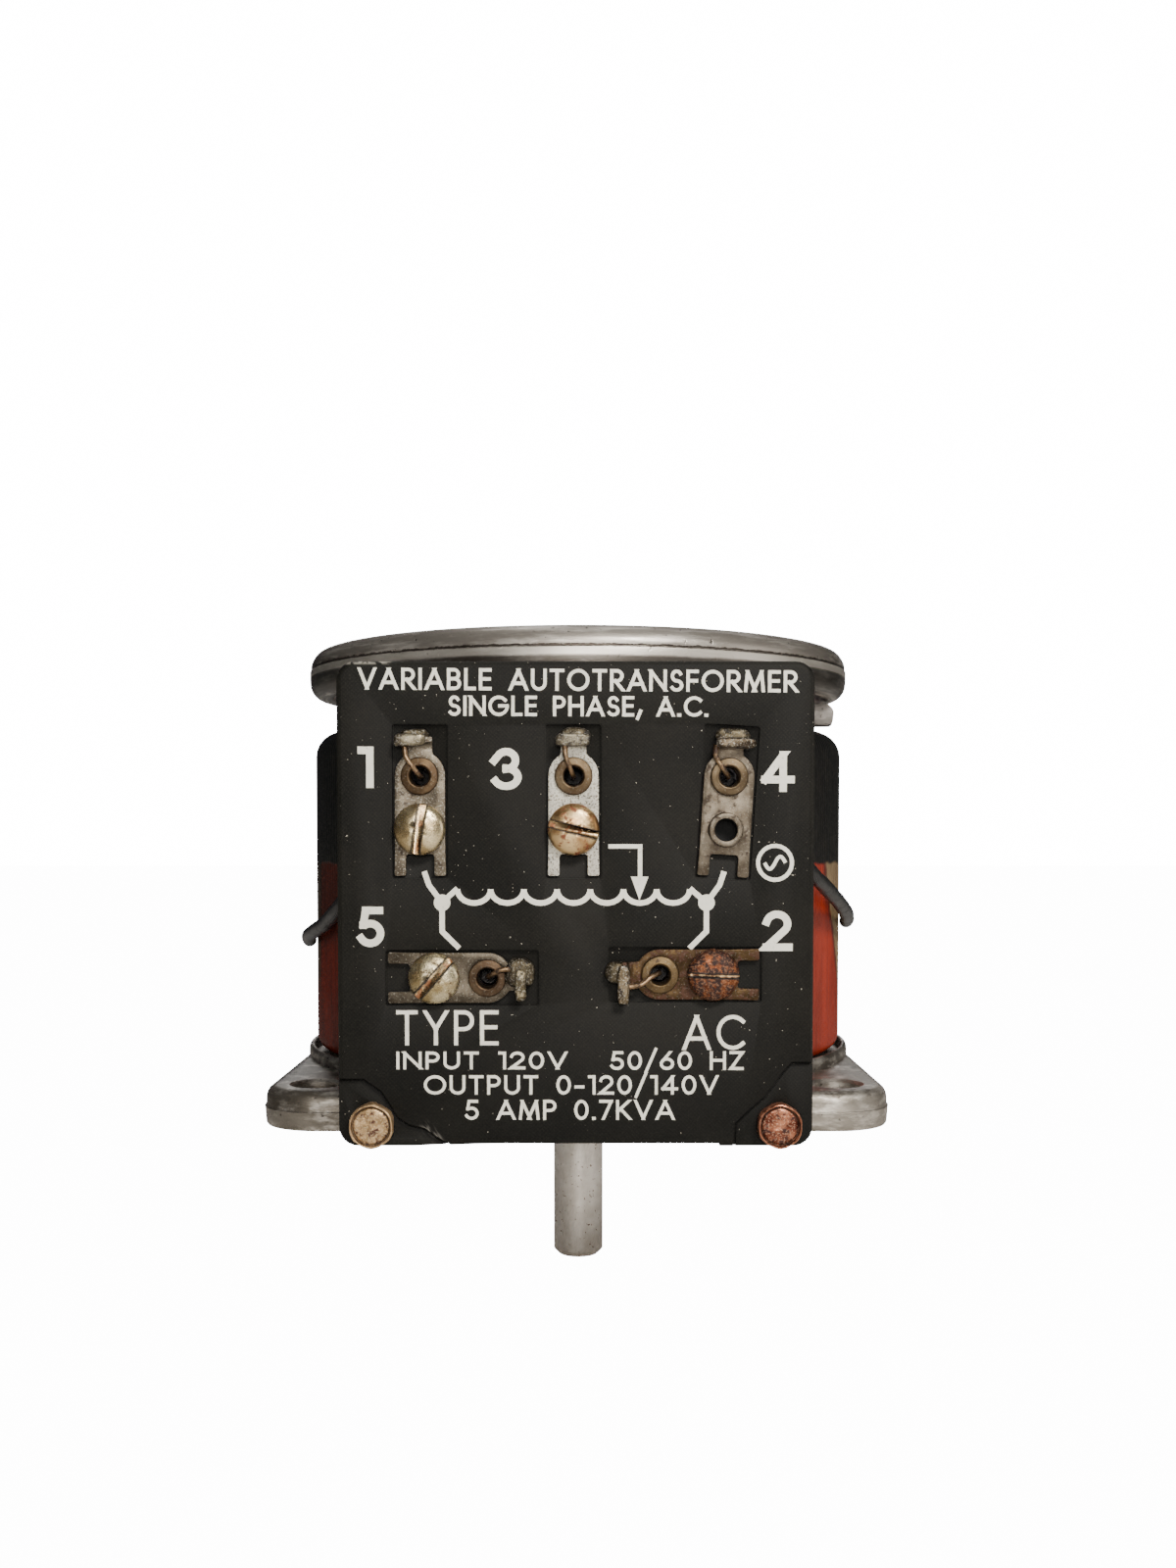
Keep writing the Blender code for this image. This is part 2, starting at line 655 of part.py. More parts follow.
def brush_gear(rotor, brush_body):
    top = HOLDER_TOP
    start, end = BRUSH_SPAN
    spout, spout_top = HOLDER_SPOUT
    side = [
        (27 * MM, top), (27 * MM, 70 * MM), (30 * MM, HOLDER_BOTTOM), (HOLDER_END, HOLDER_BOTTOM),
        (HOLDER_END, spout_top), (spout, spout_top), (spout, top),
    ]
    holder = outline("brush_holder", [side], 2 * HOLDER_HALF, ALUMINIUM, rotor)
    holder.rotation_euler = (math.radians(90), 0, BRUSH_ANGLE)
    slot = block(
        "brush_slot",
        (start - GAP, -BRUSH_HALF - GAP, 60 * MM),
        (end + GAP, BRUSH_HALF + GAP, 90 * MM),
        parent=rotor,
    )
    cut(holder, at_angle(slot, BRUSH_ANGLE))
    hole = turned("holder_screw_hole", rod(BRUSH_SCREW_HOLE, 60 * MM, 90 * MM), ALUMINIUM, TINY, rotor)
    hole.location = spot(BRUSH_SCREW_AT, math.degrees(BRUSH_ANGLE))
    cut(holder, hole)
    under = WEB[1] + GAP
    screw = turned(
        "brush_holder_screw",
        [
            (0, under + 2 * MM), (2.1 * MM, under + 2 * MM), (2.7 * MM, under + 1.2 * MM),
            (2.7 * MM, under), (1.4 * MM, under), (1.4 * MM, 69 * MM), (0, 69 * MM),
        ],
        STEEL,
        SMALL,
        rotor,
    )
    screw.location = spot(BRUSH_SCREW_AT, math.degrees(BRUSH_ANGLE))
    low, high = BRUSH_Z
    brush = block("carbon_brush", (start, -BRUSH_HALF, low), (end, BRUSH_HALF, high), CARBON, brush_body)
    at_angle(brush, BRUSH_ANGLE)
    bevel(brush, 0.4 * MM)
    bow = [
        (start + MM, high + GAP), (start + 3 * MM, high + 0.8 * MM), ((start + end) / 2, top - 0.5 * MM),
        (end - 3 * MM, high + 0.8 * MM), (end - MM, high + GAP),
    ]
    spring_loop = bow + [(x, z + 0.3 * MM) for x, z in reversed(bow)]
    spring = outline("brush_spring", [spring_loop], 2 * BRUSH_HALF, STEEL, rotor)
    spring.rotation_euler = (math.radians(90), 0, BRUSH_ANGLE)
    outer, bottom = INSULATOR
    insulator = ring(HUB_RADIUS + GAP, outer, bottom, WEB[0] - GAP)
    turned("collector_insulator", insulator, FIBRE, COARSE, rotor)
    turned("collector_ring", ring(*COLLECTOR), BRASS, COARSE, rotor)


def contact_strip():
    """The fixed strip from the board's inside, over the coil's dead stretch, to the collector ring."""
    behind = BOARD_FRONT + BOARD_FACE + GAP
    low, high = STRIP_LEVEL
    under, over = STRIP_CONTACT
    far = [
        (behind, STRIP_START), (behind, high), (-17 * MM, high), (-13.8 * MM, over), (-11 * MM, over),
    ]
    near = [
        (-11 * MM, under), (-13.6 * MM, under), (-16.8 * MM, low), (behind + STRIP_THICK, low),
        (behind + STRIP_THICK, STRIP_START),
    ]
    strip = outline("collector_contact", [far + near], STRIP_X[1] - STRIP_X[0], BRASS)
    strip.rotation_euler = (math.radians(90), 0, math.radians(90))
    strip.location.x = (STRIP_X[0] + STRIP_X[1]) / 2


def terminal_frame(x, z, degrees):
    """A terminal's own axes: X across, Y towards the lug, Z out of the board.

    The turn is anticlockwise as seen from the front, from a lug that points up.
    """
    stand = Matrix.Rotation(math.radians(90), 4, "X")
    roll = Matrix.Rotation(math.radians(-degrees), 4, "Y")
    return Matrix.Translation((x, PLATE_BACK, z)) @ roll @ stand


def terminal_board():
    low = (-BOARD_HALF, BOARD_BOTTOM)
    high = (BOARD_HALF, BOARD_TOP)
    depth = BOARD_BACK - BOARD_FRONT
    board = outline("terminal_board", [rounded_rectangle(low, high, BOARD_CORNER, 4)], depth, PHENOLIC)
    board_side(board, (BOARD_BACK + BOARD_FRONT) / 2)
    bevel(board, 0.7 * MM)
    wall = BOARD_WALL
    inside = rounded_rectangle((low[0] + wall, low[1] + wall), (high[0] - wall, high[1] - wall), MM, 2)
    hollow = outline("board_hollow", [inside], depth, PHENOLIC)
    cut(board, board_side(hollow, (BOARD_BACK + BOARD_FRONT) / 2 + BOARD_FACE))
    for side in (-1, 1):
        x = side * BOARD_SCREW_X
        boss = block(
            f"board_boss_{side}",
            (x - BOSS_WIDE, BOARD_FRONT + MM, BOARD_BOTTOM + MM),
            (x + BOSS_WIDE, BOARD_BACK, 9 * MM),
        )
        pad = block(
            f"board_pad_{side}",
            (x - PAD_HALF, BOARD_FRONT - 2 * MM, -2 * MM),
            (x + PAD_HALF, BOARD_FRONT + PAD_STEP, PAD_TOP),
        )
        profile = rod(BOARD_SCREW_HOLE, 0, 20 * MM)
        hole = turned(f"board_hole_{side}", profile, PHENOLIC, TINY, axis="Y")
        hole.location = (x, BOARD_BACK + 3 * MM, BOARD_SCREW_Z)
        join(board, boss)
        cut(board, pad, hole)
    for name, x, z, degrees, _ in TERMINALS:
        frame = terminal_frame(x, z, degrees)
        pocket = block(
            f"pocket_{name}",
            (-TERMINAL_HALF - 0.4 * MM, -FORK_END - 0.3 * MM, -POCKET_DEPTH / 2 - GAP),
            (TERMINAL_HALF + 0.4 * MM, 7.9 * MM, 4 * MM),
        )
        pocket.data.transform(Matrix.Translation((0, 0, POCKET_DEPTH / 2)))
        pocket.matrix_world = frame
        profile = rod(EYELET_BARREL + GAP, -6 * MM, 4 * MM)
        eyelet_hole = turned(f"eyelet_hole_{name}", profile, PHENOLIC, TINY)
        eyelet_hole.matrix_world = frame
        screw_hole = turned(f"screw_hole_{name}", rod(2 * MM, -6 * MM, 4 * MM), PHENOLIC, TINY)
        screw_hole.matrix_world = frame @ Matrix.Translation((0, -SCREW_BELOW, 0))
        cut(board, pocket, eyelet_hole, screw_hole)


def terminals():
    start, end, lug_half, reach = LUG
    low, high, narrow = SHOULDER
    half = TERMINAL_HALF
    right_side = [
        (half + 0.1 * MM, -FORK_END), (half, 0.5 * MM - FORK_BASE), (half, low), (narrow, high),
        (1.4 * MM, high + 0.4 * MM), (1.3 * MM, start + 0.5 * MM),
    ]
    left_side = [(-x, y) for x, y in reversed(right_side)]
    fork = [
        (-FORK_INNER, -FORK_END), (-FORK_INNER, -FORK_BASE),
        (FORK_INNER, -FORK_BASE), (FORK_INNER, -FORK_END),
    ]
    for name, x, z, degrees, has_screw in TERMINALS:
        frame = terminal_frame(x, z, degrees)
        plate = outline(f"terminal_{name}", [right_side + left_side + fork], TERMINAL_THICK, TIN)
        plate.data.transform(Matrix.Translation((0, 0, TERMINAL_THICK / 2)))
        plate.matrix_world = frame
        lug_low, lug_high = (-lug_half, start, 0.1 * MM), (lug_half, end, TERMINAL_THICK + reach)
        lug = block(f"lug_{name}", lug_low, lug_high)
        lug.matrix_world = frame
        join(plate, lug)
        if not has_screw:
            profile = rod(2.65 * MM, 0.2 * MM, TERMINAL_THICK + 0.5 * MM)
            collar = turned(f"collar_{name}", profile, TIN, SMALL)
            collar.matrix_world = frame @ Matrix.Translation((0, -SCREW_BELOW, 0))
            join(plate, collar)
        hole = turned(f"rivet_hole_{name}", rod(EYELET_BARREL + GAP, -MM, 3 * MM), TIN, SMALL)
        hole.matrix_world = frame
        thread = turned(f"thread_{name}", rod(1.75 * MM, -MM, 3 * MM), TIN, SMALL)
        thread.matrix_world = frame @ Matrix.Translation((0, -SCREW_BELOW, 0))
        cut(plate, hole, thread)
        front = TERMINAL_THICK + GAP
        back = BOARD_FRONT + BOARD_FACE - PLATE_BACK
        eyelet = turned(
            f"eyelet_{name}",
            [
                (EYELET_FLANGE - 0.4 * MM, front + 0.6 * MM), (EYELET_FLANGE, front + 0.2 * MM),
                (EYELET_FLANGE, front), (EYELET_BARREL, front), (EYELET_BARREL, -back - GAP),
                (EYELET_FLANGE - 0.3 * MM, -back - GAP), (EYELET_FLANGE - 0.3 * MM, -back - 0.7 * MM),
                (EYELET_HOLE, -back - 0.7 * MM), (EYELET_HOLE, front + 0.4 * MM),
            ],
            TIN,
            SMALL,
        )
        eyelet.matrix_world = frame
        if has_screw:
            terminal_screw(name, frame)


def terminal_screw(name, frame):
    under = TERMINAL_THICK + GAP
    screw = turned(
        f"terminal_screw_{name}",
        [
            (0, under + 2 * MM), (SCREW_HEAD * 0.55, under + 1.75 * MM),
            (SCREW_HEAD * 0.9, under + 1.1 * MM), (SCREW_HEAD, under + 0.4 * MM),
            (SCREW_HEAD * 0.95, under), (1.45 * MM, under), (1.45 * MM, -4 * MM), (0, -4 * MM),
        ],
        BRASS,
        SMALL,
    )
    screw.matrix_world = frame @ Matrix.Translation((0, -SCREW_BELOW, 0))
    low, high = (-5 * MM, -0.65 * MM, under + MM), (5 * MM, 0.65 * MM, under + 3 * MM)
    slot = block(f"screw_slot_{name}", low, high)
    slot.matrix_world = screw.matrix_world @ Matrix.Rotation(math.radians(SLOT_TURN[name]), 4, "Z")
    cut(screw, slot)


def board_screws():
    """Indented hex screws that hold the board to the base's front edge."""
    back = BOARD_FRONT + PAD_STEP - GAP
    radius, height = BOARD_SCREW_HEAD
    dimple_profile = [
        (0, height + MM), (radius - MM, height + MM), (radius - MM, height - GAP),
        (radius - 2 * MM, height - 0.9 * MM), (0, height - 0.9 * MM),
    ]
    for name, side in (("left", -1), ("right", 1)):
        x = side * BOARD_SCREW_X
        stem_profile = rod(BOARD_SCREW_STEM, -14 * MM, MM)
        stem = turned(f"board_screw_{name}", stem_profile, STEEL, TINY, axis="Y")
        stem.location = (x, back, BOARD_SCREW_Z)
        head = outline(f"hex_head_{name}", [arc((0, 0), radius, 0, 300, 5)], height, STEEL)
        head.rotation_euler = (math.radians(90), 0, 0)
        head.location = (x, back - height / 2, BOARD_SCREW_Z)
        dimple = turned(f"dimple_{name}", dimple_profile, STEEL, SMALL, axis="Y")
        dimple.location = (x, back, BOARD_SCREW_Z)
        join(stem, head)
        cut(stem, dimple)


def leads():
    """Sleeved leads behind the board, and their bare ends through the eyelets."""
    rear = BOARD_FRONT + BOARD_FACE + 1.4 * MM
    for name, x, z, _, _ in TERMINALS:
        start = [(x, rear, z), (x, rear + 2.2 * MM, z - 0.5 * MM)]
        route = [Vector(p) * MM for p in LEAD_ROUTES[name]]
        tube(f"lead_{name}", start + route, SLEEVE_RADIUS, SLEEVING)
    for name, x, z, degrees, _ in TERMINALS:
        frame = terminal_frame(x, z, degrees)
        across = -1 if name in "134" else 0.6
        bend = [
            (0, 0, -3.5), (0, 0, 1.2), (0.3 * across, 0.5, 2.2), (0.8 * across, 2.4, 2.5),
            (1.1 * across, 3.9, 2.3),
        ]
        points = [frame @ (Vector(p) * MM) for p in bend]
        tube(f"wire_end_{name}", points, WIRE_RADIUS, TIN)


def main():
    rotor = bpy.data.objects.new("rotor", None)
    brush_body = bpy.data.objects.new("brush", None)
    PARTS.objects.link(rotor)
    PARTS.objects.link(brush_body)
    brush_body.parent = rotor
    base_casting()
    bearings()
    core_and_caps()
    winding()
    clamp_plate()
    terminal_board()
    terminals()
    board_screws()
    contact_strip()
    leads()
    shaft(rotor)
    radiator(rotor)
    brush_gear(rotor, brush_body)


main()
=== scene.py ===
"""The looks of a panel-mounting variac autotransformer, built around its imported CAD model.

Lengths are millimetres until make() turns them into metres. The terminal board faces -Y and the
shaft's axis is Z. Every piece below stands for the CAD node of the same name, unless it says more.
"""

import math

import bmesh
import bpy
from mathutils import Matrix, Vector, noise
from mathutils.geometry import delaunay_2d_cdt


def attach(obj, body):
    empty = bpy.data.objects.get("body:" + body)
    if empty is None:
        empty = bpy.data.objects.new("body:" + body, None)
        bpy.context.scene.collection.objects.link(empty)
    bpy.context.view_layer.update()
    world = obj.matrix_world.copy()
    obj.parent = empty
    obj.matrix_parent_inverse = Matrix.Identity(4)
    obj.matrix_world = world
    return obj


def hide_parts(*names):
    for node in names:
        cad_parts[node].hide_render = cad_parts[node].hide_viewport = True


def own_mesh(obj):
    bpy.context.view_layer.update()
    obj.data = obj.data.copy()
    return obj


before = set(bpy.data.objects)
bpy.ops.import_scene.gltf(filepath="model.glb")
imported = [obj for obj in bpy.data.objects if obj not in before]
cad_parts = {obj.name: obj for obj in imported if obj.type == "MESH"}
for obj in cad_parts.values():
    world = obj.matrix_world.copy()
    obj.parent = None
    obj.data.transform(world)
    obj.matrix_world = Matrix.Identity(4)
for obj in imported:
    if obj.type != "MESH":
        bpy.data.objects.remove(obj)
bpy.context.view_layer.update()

MM = 0.001
TURN = 2 * math.pi

# Sizes that several pieces share
SHAFT_RADIUS = 4.7625
BOARD_FRONT = -63.5
BOARD_BACK = -52.4
PLATE_BACK = -63.0  # rear of the terminals, in their pockets
SCREW_BELOW = 8.1  # from a terminal's eyelet to its screw
BOARD_SCREWS = (("left", -31.3), ("right", 31.3))
BOARD_SCREW_Z = 3.5
BOARD_SCREW_HOLE = 2.4  # this hole, and those below, by radius
CLAMP_HOLE = 1.9
BRUSH_SCREW_HOLE = 1.7
BORE = 5.0625  # of what turns with the shaft
POST_Y = -22.5
BRUSH_ANGLE = math.radians(-8)
COAT_EDGE = 42.7  # the winding is coated black above this height
TRACK_Z = 66.9  # top of the winding, where the brush runs
FLASH_Z = 78.5  # casting flash round the radiator's rim
LEDGE_Z = 77.0  # foot of the ledge below the flash: a painted highlight above it, a painted shade band below it
SLOTS = 8  # in the radiator

# Terminals: eyelet's x and z, and turn in degrees seen from the front
TERMINALS = {
    "1": (-23.7, 57.0, 0),
    "2": (12.9, 26.7, 90),
    "3": (-0.3, 57.0, 0),
    "4": (23.4, 56.9, -3.5),
    "5": (-13.5, 26.2, -90),
}
# Soldering lugs: size and middle of the rolled end, then of the block of solder on it
LUGS = {
    "1": ((4.4, 2.2, 1.8), (-0.7, 6.1, 1.3), (4.8, 1.9, 1.4), (-1.3, 5.4, 2.2)),
    "2": ((3.4, 3.6, 1.8), (0.4, 6.5, 1.4), (6.0, 1.85, 1.1), (-1.4, 5.6, 2.4)),
    "3": ((4.6, 2.3, 1.8), (0.3, 6.2, 1.3), (5.2, 1.9, 1.4), (-0.1, 5.4, 2.2)),
    "4": ((5.4, 2.4, 1.6), (0.1, 6.2, 1.2), (6.1, 1.6, 1.4), (0.6, 5.1, 2.2)),
    "5": ((4.5, 4.6, 1.9), (-0.8, 5.0, 1.4), (4.7, 1.75, 1.0), (1.0, 5.2, 2.5)),
}
# Each wire end, from its eyelet's mouth to its lug
WIRE_ROUTES = {
    "1": ((-0.1, 0.1, 0.4), (-0.9, 1.3, 1.5), (-2.0, 2.9, 1.7), (-2.2, 4.5, 1.5)),
    "2": ((0.15, 0.2, 0.4), (-0.3, 1.4, 1.7), (-1.4, 2.9, 2.1), (-1.8, 4.9, 1.9)),
    "3": ((-0.1, 0.1, 0.4), (-0.6, 1.4, 1.5), (-1.2, 3.0, 1.7), (-1.3, 4.6, 1.5)),
    "4": ((-0.2, 0.1, 0.4), (-1.1, 1.2, 1.5), (-2.3, 2.9, 1.7), (-2.3, 4.6, 1.6)),
    "5": ((-0.2, 0.2, 0.4), (-0.8, 1.2, 1.7), (-1.3, 2.1, 2.1), (-1.4, 3.4, 1.8)),
}
# Screws' slots: turn in degrees in the terminal's own frame, and half of the width
SLOT_TURN = {"1": 81, "2": 88, "3": -14, "5": 138}
SLOT_HALF = {"1": 0.68, "2": 0.3, "3": 0.6, "5": 0.66}


# Materials ---------------------------------------------------------------------------------------


def screw_slot(name):
    """A terminal screw's middle x and z, its slot's slant in degrees and half of the slot's width."""
    x, z, degrees = TERMINALS[name]
    turn = math.radians(degrees)
    middle = (x + SCREW_BELOW * math.sin(turn), z - SCREW_BELOW * math.cos(turn))
    return (*middle, SLOT_TURN[name] - degrees, SLOT_HALF[name])


def srgb(red, green, blue):
    """A display colour, 0 to 255, as the linear colour that a shader takes."""
    return tuple(
        c / 12.92 if c <= 0.04045 else ((c + 0.055) / 1.055) ** 2.4
        for c in (red / 255, green / 255, blue / 255)
    )


class Value:
    """A number or a colour in a material. Arithmetic on it adds nodes."""

    def __init__(self, paint, socket):
        self.paint = paint
        self.socket = socket

    def __add__(self, other):
        return self.paint.math("ADD", self, other)

    def __mul__(self, other):
        return self.paint.math("MULTIPLY", self, other)

    def __sub__(self, other):
        return self.paint.math("SUBTRACT", self, other)

    def __rsub__(self, other):
        return self.paint.math("SUBTRACT", other, self)

    def __neg__(self):
        return self * -1

    def __abs__(self):
        return self.paint.math("ABSOLUTE", self)

    __radd__ = __add__
    __rmul__ = __mul__


class Paint:
    """One procedural material. Sizes in it are millimetres on the object."""

    def __init__(self, name, metallic=0.0, coat=0.0, coat_roughness=0.2, specular=0.5):
        self.material = bpy.data.materials.new(name)
        self.material.use_nodes = True
        self.nodes = self.material.node_tree.nodes
        self.links = self.material.node_tree.links
        self.shader = self.nodes["Principled BSDF"]
        self.shader.inputs["Metallic"].default_value = metallic
        self.shader.inputs["Coat Weight"].default_value = coat
        self.shader.inputs["Coat Roughness"].default_value = coat_roughness
        self.shader.inputs["Specular IOR Level"].default_value = specular
        scale = self.node("VectorMath", operation="SCALE")
        scale.inputs["Scale"].default_value = 1 / MM
        self.links.new(self.node("TexCoord").outputs["Object"], scale.inputs[0])
        self.place = Value(self, scale.outputs[0])

    def node(self, kind, **settings):
        node = self.nodes.new(f"ShaderNode{kind}")
        for name, value in settings.items():
            setattr(node, name, value)
        return node

    def put(self, socket, value):
        if isinstance(value, Value):
            self.links.new(value.socket, socket)
        elif isinstance(value, tuple) and len(socket.default_value) == 4:
            socket.default_value = (*value, 1)
        else:
            socket.default_value = value

    def math(self, operation, a, b=0.0):
        node = self.node("Math", operation=operation)
        self.put(node.inputs[0], a)
        self.put(node.inputs[1], b)
        return Value(self, node.outputs[0])

    def sine(self, value):
        return self.math("SINE", value)

    def axes(self):
        node = self.node("SeparateXYZ")
        self.put(node.inputs[0], self.place)
        return [Value(self, output) for output in node.outputs]

    def vector(self, x, y, z):
        node = self.node("CombineXYZ")
        for socket, value in zip(node.inputs, (x, y, z)):
            self.put(socket, value)
        return Value(self, node.outputs[0])

    def polar(self):
        """Angle about Z in radians, radius and height."""
        x, y, z = self.axes()
        return self.math("ARCTAN2", y, x), self.math("SQRT", x * x + y * y), z

    def noise(self, size, detail=3.0, stretch=(1, 1, 1), where=None, rough=0.5, seed=0.0):
        """Noise from 0 to 1 with features of that size, drawn out along an axis by stretch."""
        scaled = self.node("VectorMath", operation="MULTIPLY_ADD")
        self.put(scaled.inputs[0], where or self.place)
        scaled.inputs[1].default_value = tuple(1 / (size * s) for s in stretch)
        scaled.inputs[2].default_value = (seed, seed * 1.7, seed * 0.6)
        node = self.node("TexNoise")
        self.links.new(scaled.outputs[0], node.inputs["Vector"])
        node.inputs["Scale"].default_value = 1
        node.inputs["Detail"].default_value = detail
        node.inputs["Roughness"].default_value = rough
        return Value(self, node.outputs["Fac"])

    def step(self, value, low, high):
        """Goes smoothly from 0 to 1 while value goes from low to high."""
        node = self.node("MapRange", interpolation_type="SMOOTHSTEP")
        for socket, number in (("Value", value), ("From Min", low), ("From Max", high)):
            self.put(node.inputs[socket], number)
        return Value(self, node.outputs[0])

    def mix(self, share, a, b):
        node = self.node("Mix", data_type="RGBA")
        self.put(node.inputs["Factor"], share)
        self.put(node.inputs[6], a)
        self.put(node.inputs[7], b)
        return Value(self, node.outputs[2])

    def finish(self, color, roughness, height=None, depth=0.05, metallic=None):
        """Ends the material: depth is how far the bump's height goes, in millimetres."""
        self.put(self.shader.inputs["Base Color"], color)
        self.put(self.shader.inputs["Roughness"], roughness)
        if metallic is not None:
            self.put(self.shader.inputs["Metallic"], metallic)
        if height is not None:
            bump = self.node("Bump")
            bump.inputs["Strength"].default_value = 1
            bump.inputs["Distance"].default_value = depth * MM
            self.put(bump.inputs["Height"], height)
            self.links.new(bump.outputs[0], self.shader.inputs["Normal"])
        return self.material


def cast_metal(name, dark, mid, light, swirl=False):
    """Die-cast aluminium gone dull: blotches, flow streaks, pits and bright rubbed spots.

    With swirl its streaks run round the axis, and the rim carries a ragged flash line, a painted highlight on
    the ledge below it and a painted shade band under that.
    """
    p = Paint(name, metallic=0.85)
    angle, radius, z = p.polar()
    where = p.vector(angle * 50, radius * 1.5, z) if swirl else p.place
    stretch = (7, 1, 1.2) if swirl else (3, 3, 1)
    blotch = p.noise(7, 4, where=where, stretch=stretch)
    streak = p.noise(1.6, 5, where=where, stretch=stretch, seed=4, rough=0.65)
    grain = p.noise(0.28, 2, seed=9)
    pits = p.step(p.noise(0.9, 3, seed=2), 0.34, 0.25)
    rubbed = p.step(p.noise(3.5, 5, where=where, stretch=stretch, seed=13, rough=0.7), 0.58, 0.72)
    color = p.mix(p.step(blotch, 0.35, 0.65), dark, mid)
    color = p.mix(p.step(streak, 0.45, 0.72) * 0.7, color, light)
    color = p.mix(rubbed * 0.6, color, light)
    color = p.mix(pits * 0.75, color, srgb(40, 36, 32))
    roughness = (0.27 if swirl else 0.34) + grain * 0.14 + blotch * 0.12 - rubbed * 0.1
    if swirl:
        outside = p.step(radius, 49.2, 49.6)
        ragged = abs(z + (p.noise(1.3, 4, seed=23, rough=0.7) - 0.5) * 0.9 - FLASH_Z)
        flash = outside * p.step(ragged, 0.3, 0.12)
        # painted shade: the rim's band below the ledge is darkened
        painted_shade_band = outside * p.step(z, LEDGE_Z, LEDGE_Z - 0.4)
        color = p.mix(flash * 0.8, color, srgb(52, 46, 38))
        color = p.mix(painted_shade_band * 0.72, color, srgb(46, 42, 37))
        # painted highlight: the narrow ledge between the flash and the shaded band is lightened
        painted_highlight_ledge = outside * p.step(z, LEDGE_Z - 0.1, LEDGE_Z + 0.1) * p.step(z, FLASH_Z - 0.2, FLASH_Z - 0.4)
        color = p.mix(painted_highlight_ledge * 0.6, color, srgb(222, 217, 206))
    height = grain * 0.5 + streak * 0.8 - pits * 1.2
    return p.finish(color, roughness, height, 0.035)


def turned_metal(name, mid, dark, stain, rough=0.26):
    """Turned metal: fine rings about the axis, handling stains and small spots."""
    p = Paint(name, metallic=1.0)
    angle, radius, z = p.polar()
    rings = p.noise(0.16, 2, where=p.vector(angle * 0.6, radius, z))
    blotch = p.noise(5, 4, seed=3)
    spots = p.step(p.noise(0.8, 4, seed=8, rough=0.6), 0.62, 0.7)
    color = p.mix(p.step(blotch, 0.3, 0.7), dark, mid)
    color = p.mix(rings * 0.35, color, dark)
    color = p.mix(spots * 0.8, color, stain)
    roughness = rough + rings * 0.14 + blotch * 0.12 + spots * 0.25
    return p.finish(color, roughness, rings + spots * 0.4, 0.012)


def tarnished(name, clean, dull, stain, stain_share, pit_share, pit=(0.7, 0.68, 0.6), rough=0.38, slot=None,
              depth=0.05, ring=None):
    """Plated brass or steel: dulled, stained in patches, and perhaps pitted with pale corrosion.

    A slot is (x, z, degrees, half width): its floor is left bare, and dirt with painted shade darkens both of
    its walls.
    A ring is (x, z) of a hex head: dirt with painted shade darkens the groove inside its raised rim, and the
    rim is painted in the clean colour.
    """
    p = Paint(name, metallic=0.85)
    cloud = p.noise(2.6, 4, seed=5)
    patch = p.noise(1.3, 5, seed=11, rough=0.65)
    fine = p.noise(0.3, 3, seed=1, rough=0.6)
    color = p.mix(p.step(cloud, 0.35, 0.65), clean, dull)
    level = 0.78 - 0.42 * stain_share
    rust = p.step(patch, level - 0.05, level + 0.06)
    color = p.mix(rust, color, stain)
    crust = p.step(fine, 0.62 - 0.3 * pit_share, 0.66 - 0.25 * pit_share) * pit_share
    color = p.mix(crust, color, pit)
    metallic = 0.9 - rust * 0.5 - crust * 0.6
    if slot:
        x, _, z = p.axes()
        middle_x, middle_z, degrees, half = slot
        slant = math.radians(degrees)
        away = (x - middle_x) * -math.sin(slant) + (z - middle_z) * math.cos(slant)
        away = abs(away) + (patch - 0.5) * 0.5
        floor = p.step(away, half - 0.12, half - 0.24)
        # dirt and painted shade: both walls of the slot are darkened
        dirt = p.step(away, half - 0.2, half - 0.06) * p.step(away, half + 0.24, half + 0.1)
        worn = p.mix(p.step(patch, 0.45, 0.6), srgb(212, 184, 140), srgb(150, 96, 62))
        color = p.mix(floor * 0.75, color, worn)
        color = p.mix(dirt * 0.9, color, srgb(30, 22, 15))
        metallic = metallic * (1 - dirt * 0.8)
    if ring:
        x, _, z = p.axes()
        across, up = x - ring[0], z - ring[1]
        away = p.math("SQRT", across * across + up * up) + (patch - 0.5) * 0.3
        color = p.mix(p.step(away, 3.0, 3.12) * 0.6, color, clean)
        # dirt and painted shade: the groove inside the raised rim is darkened
        groove = p.step(away, 2.62, 2.8) * p.step(away, 3.12, 3.0)
        color = p.mix(groove * 0.8, color, srgb(44, 28, 19))
    roughness = rough + fine * 0.12 + rust * 0.25 + crust * 0.3
    height = fine * 0.5 + rust * 0.5 + crust * 0.8 + cloud * 0.6
    return p.finish(color, roughness, height, depth, metallic)


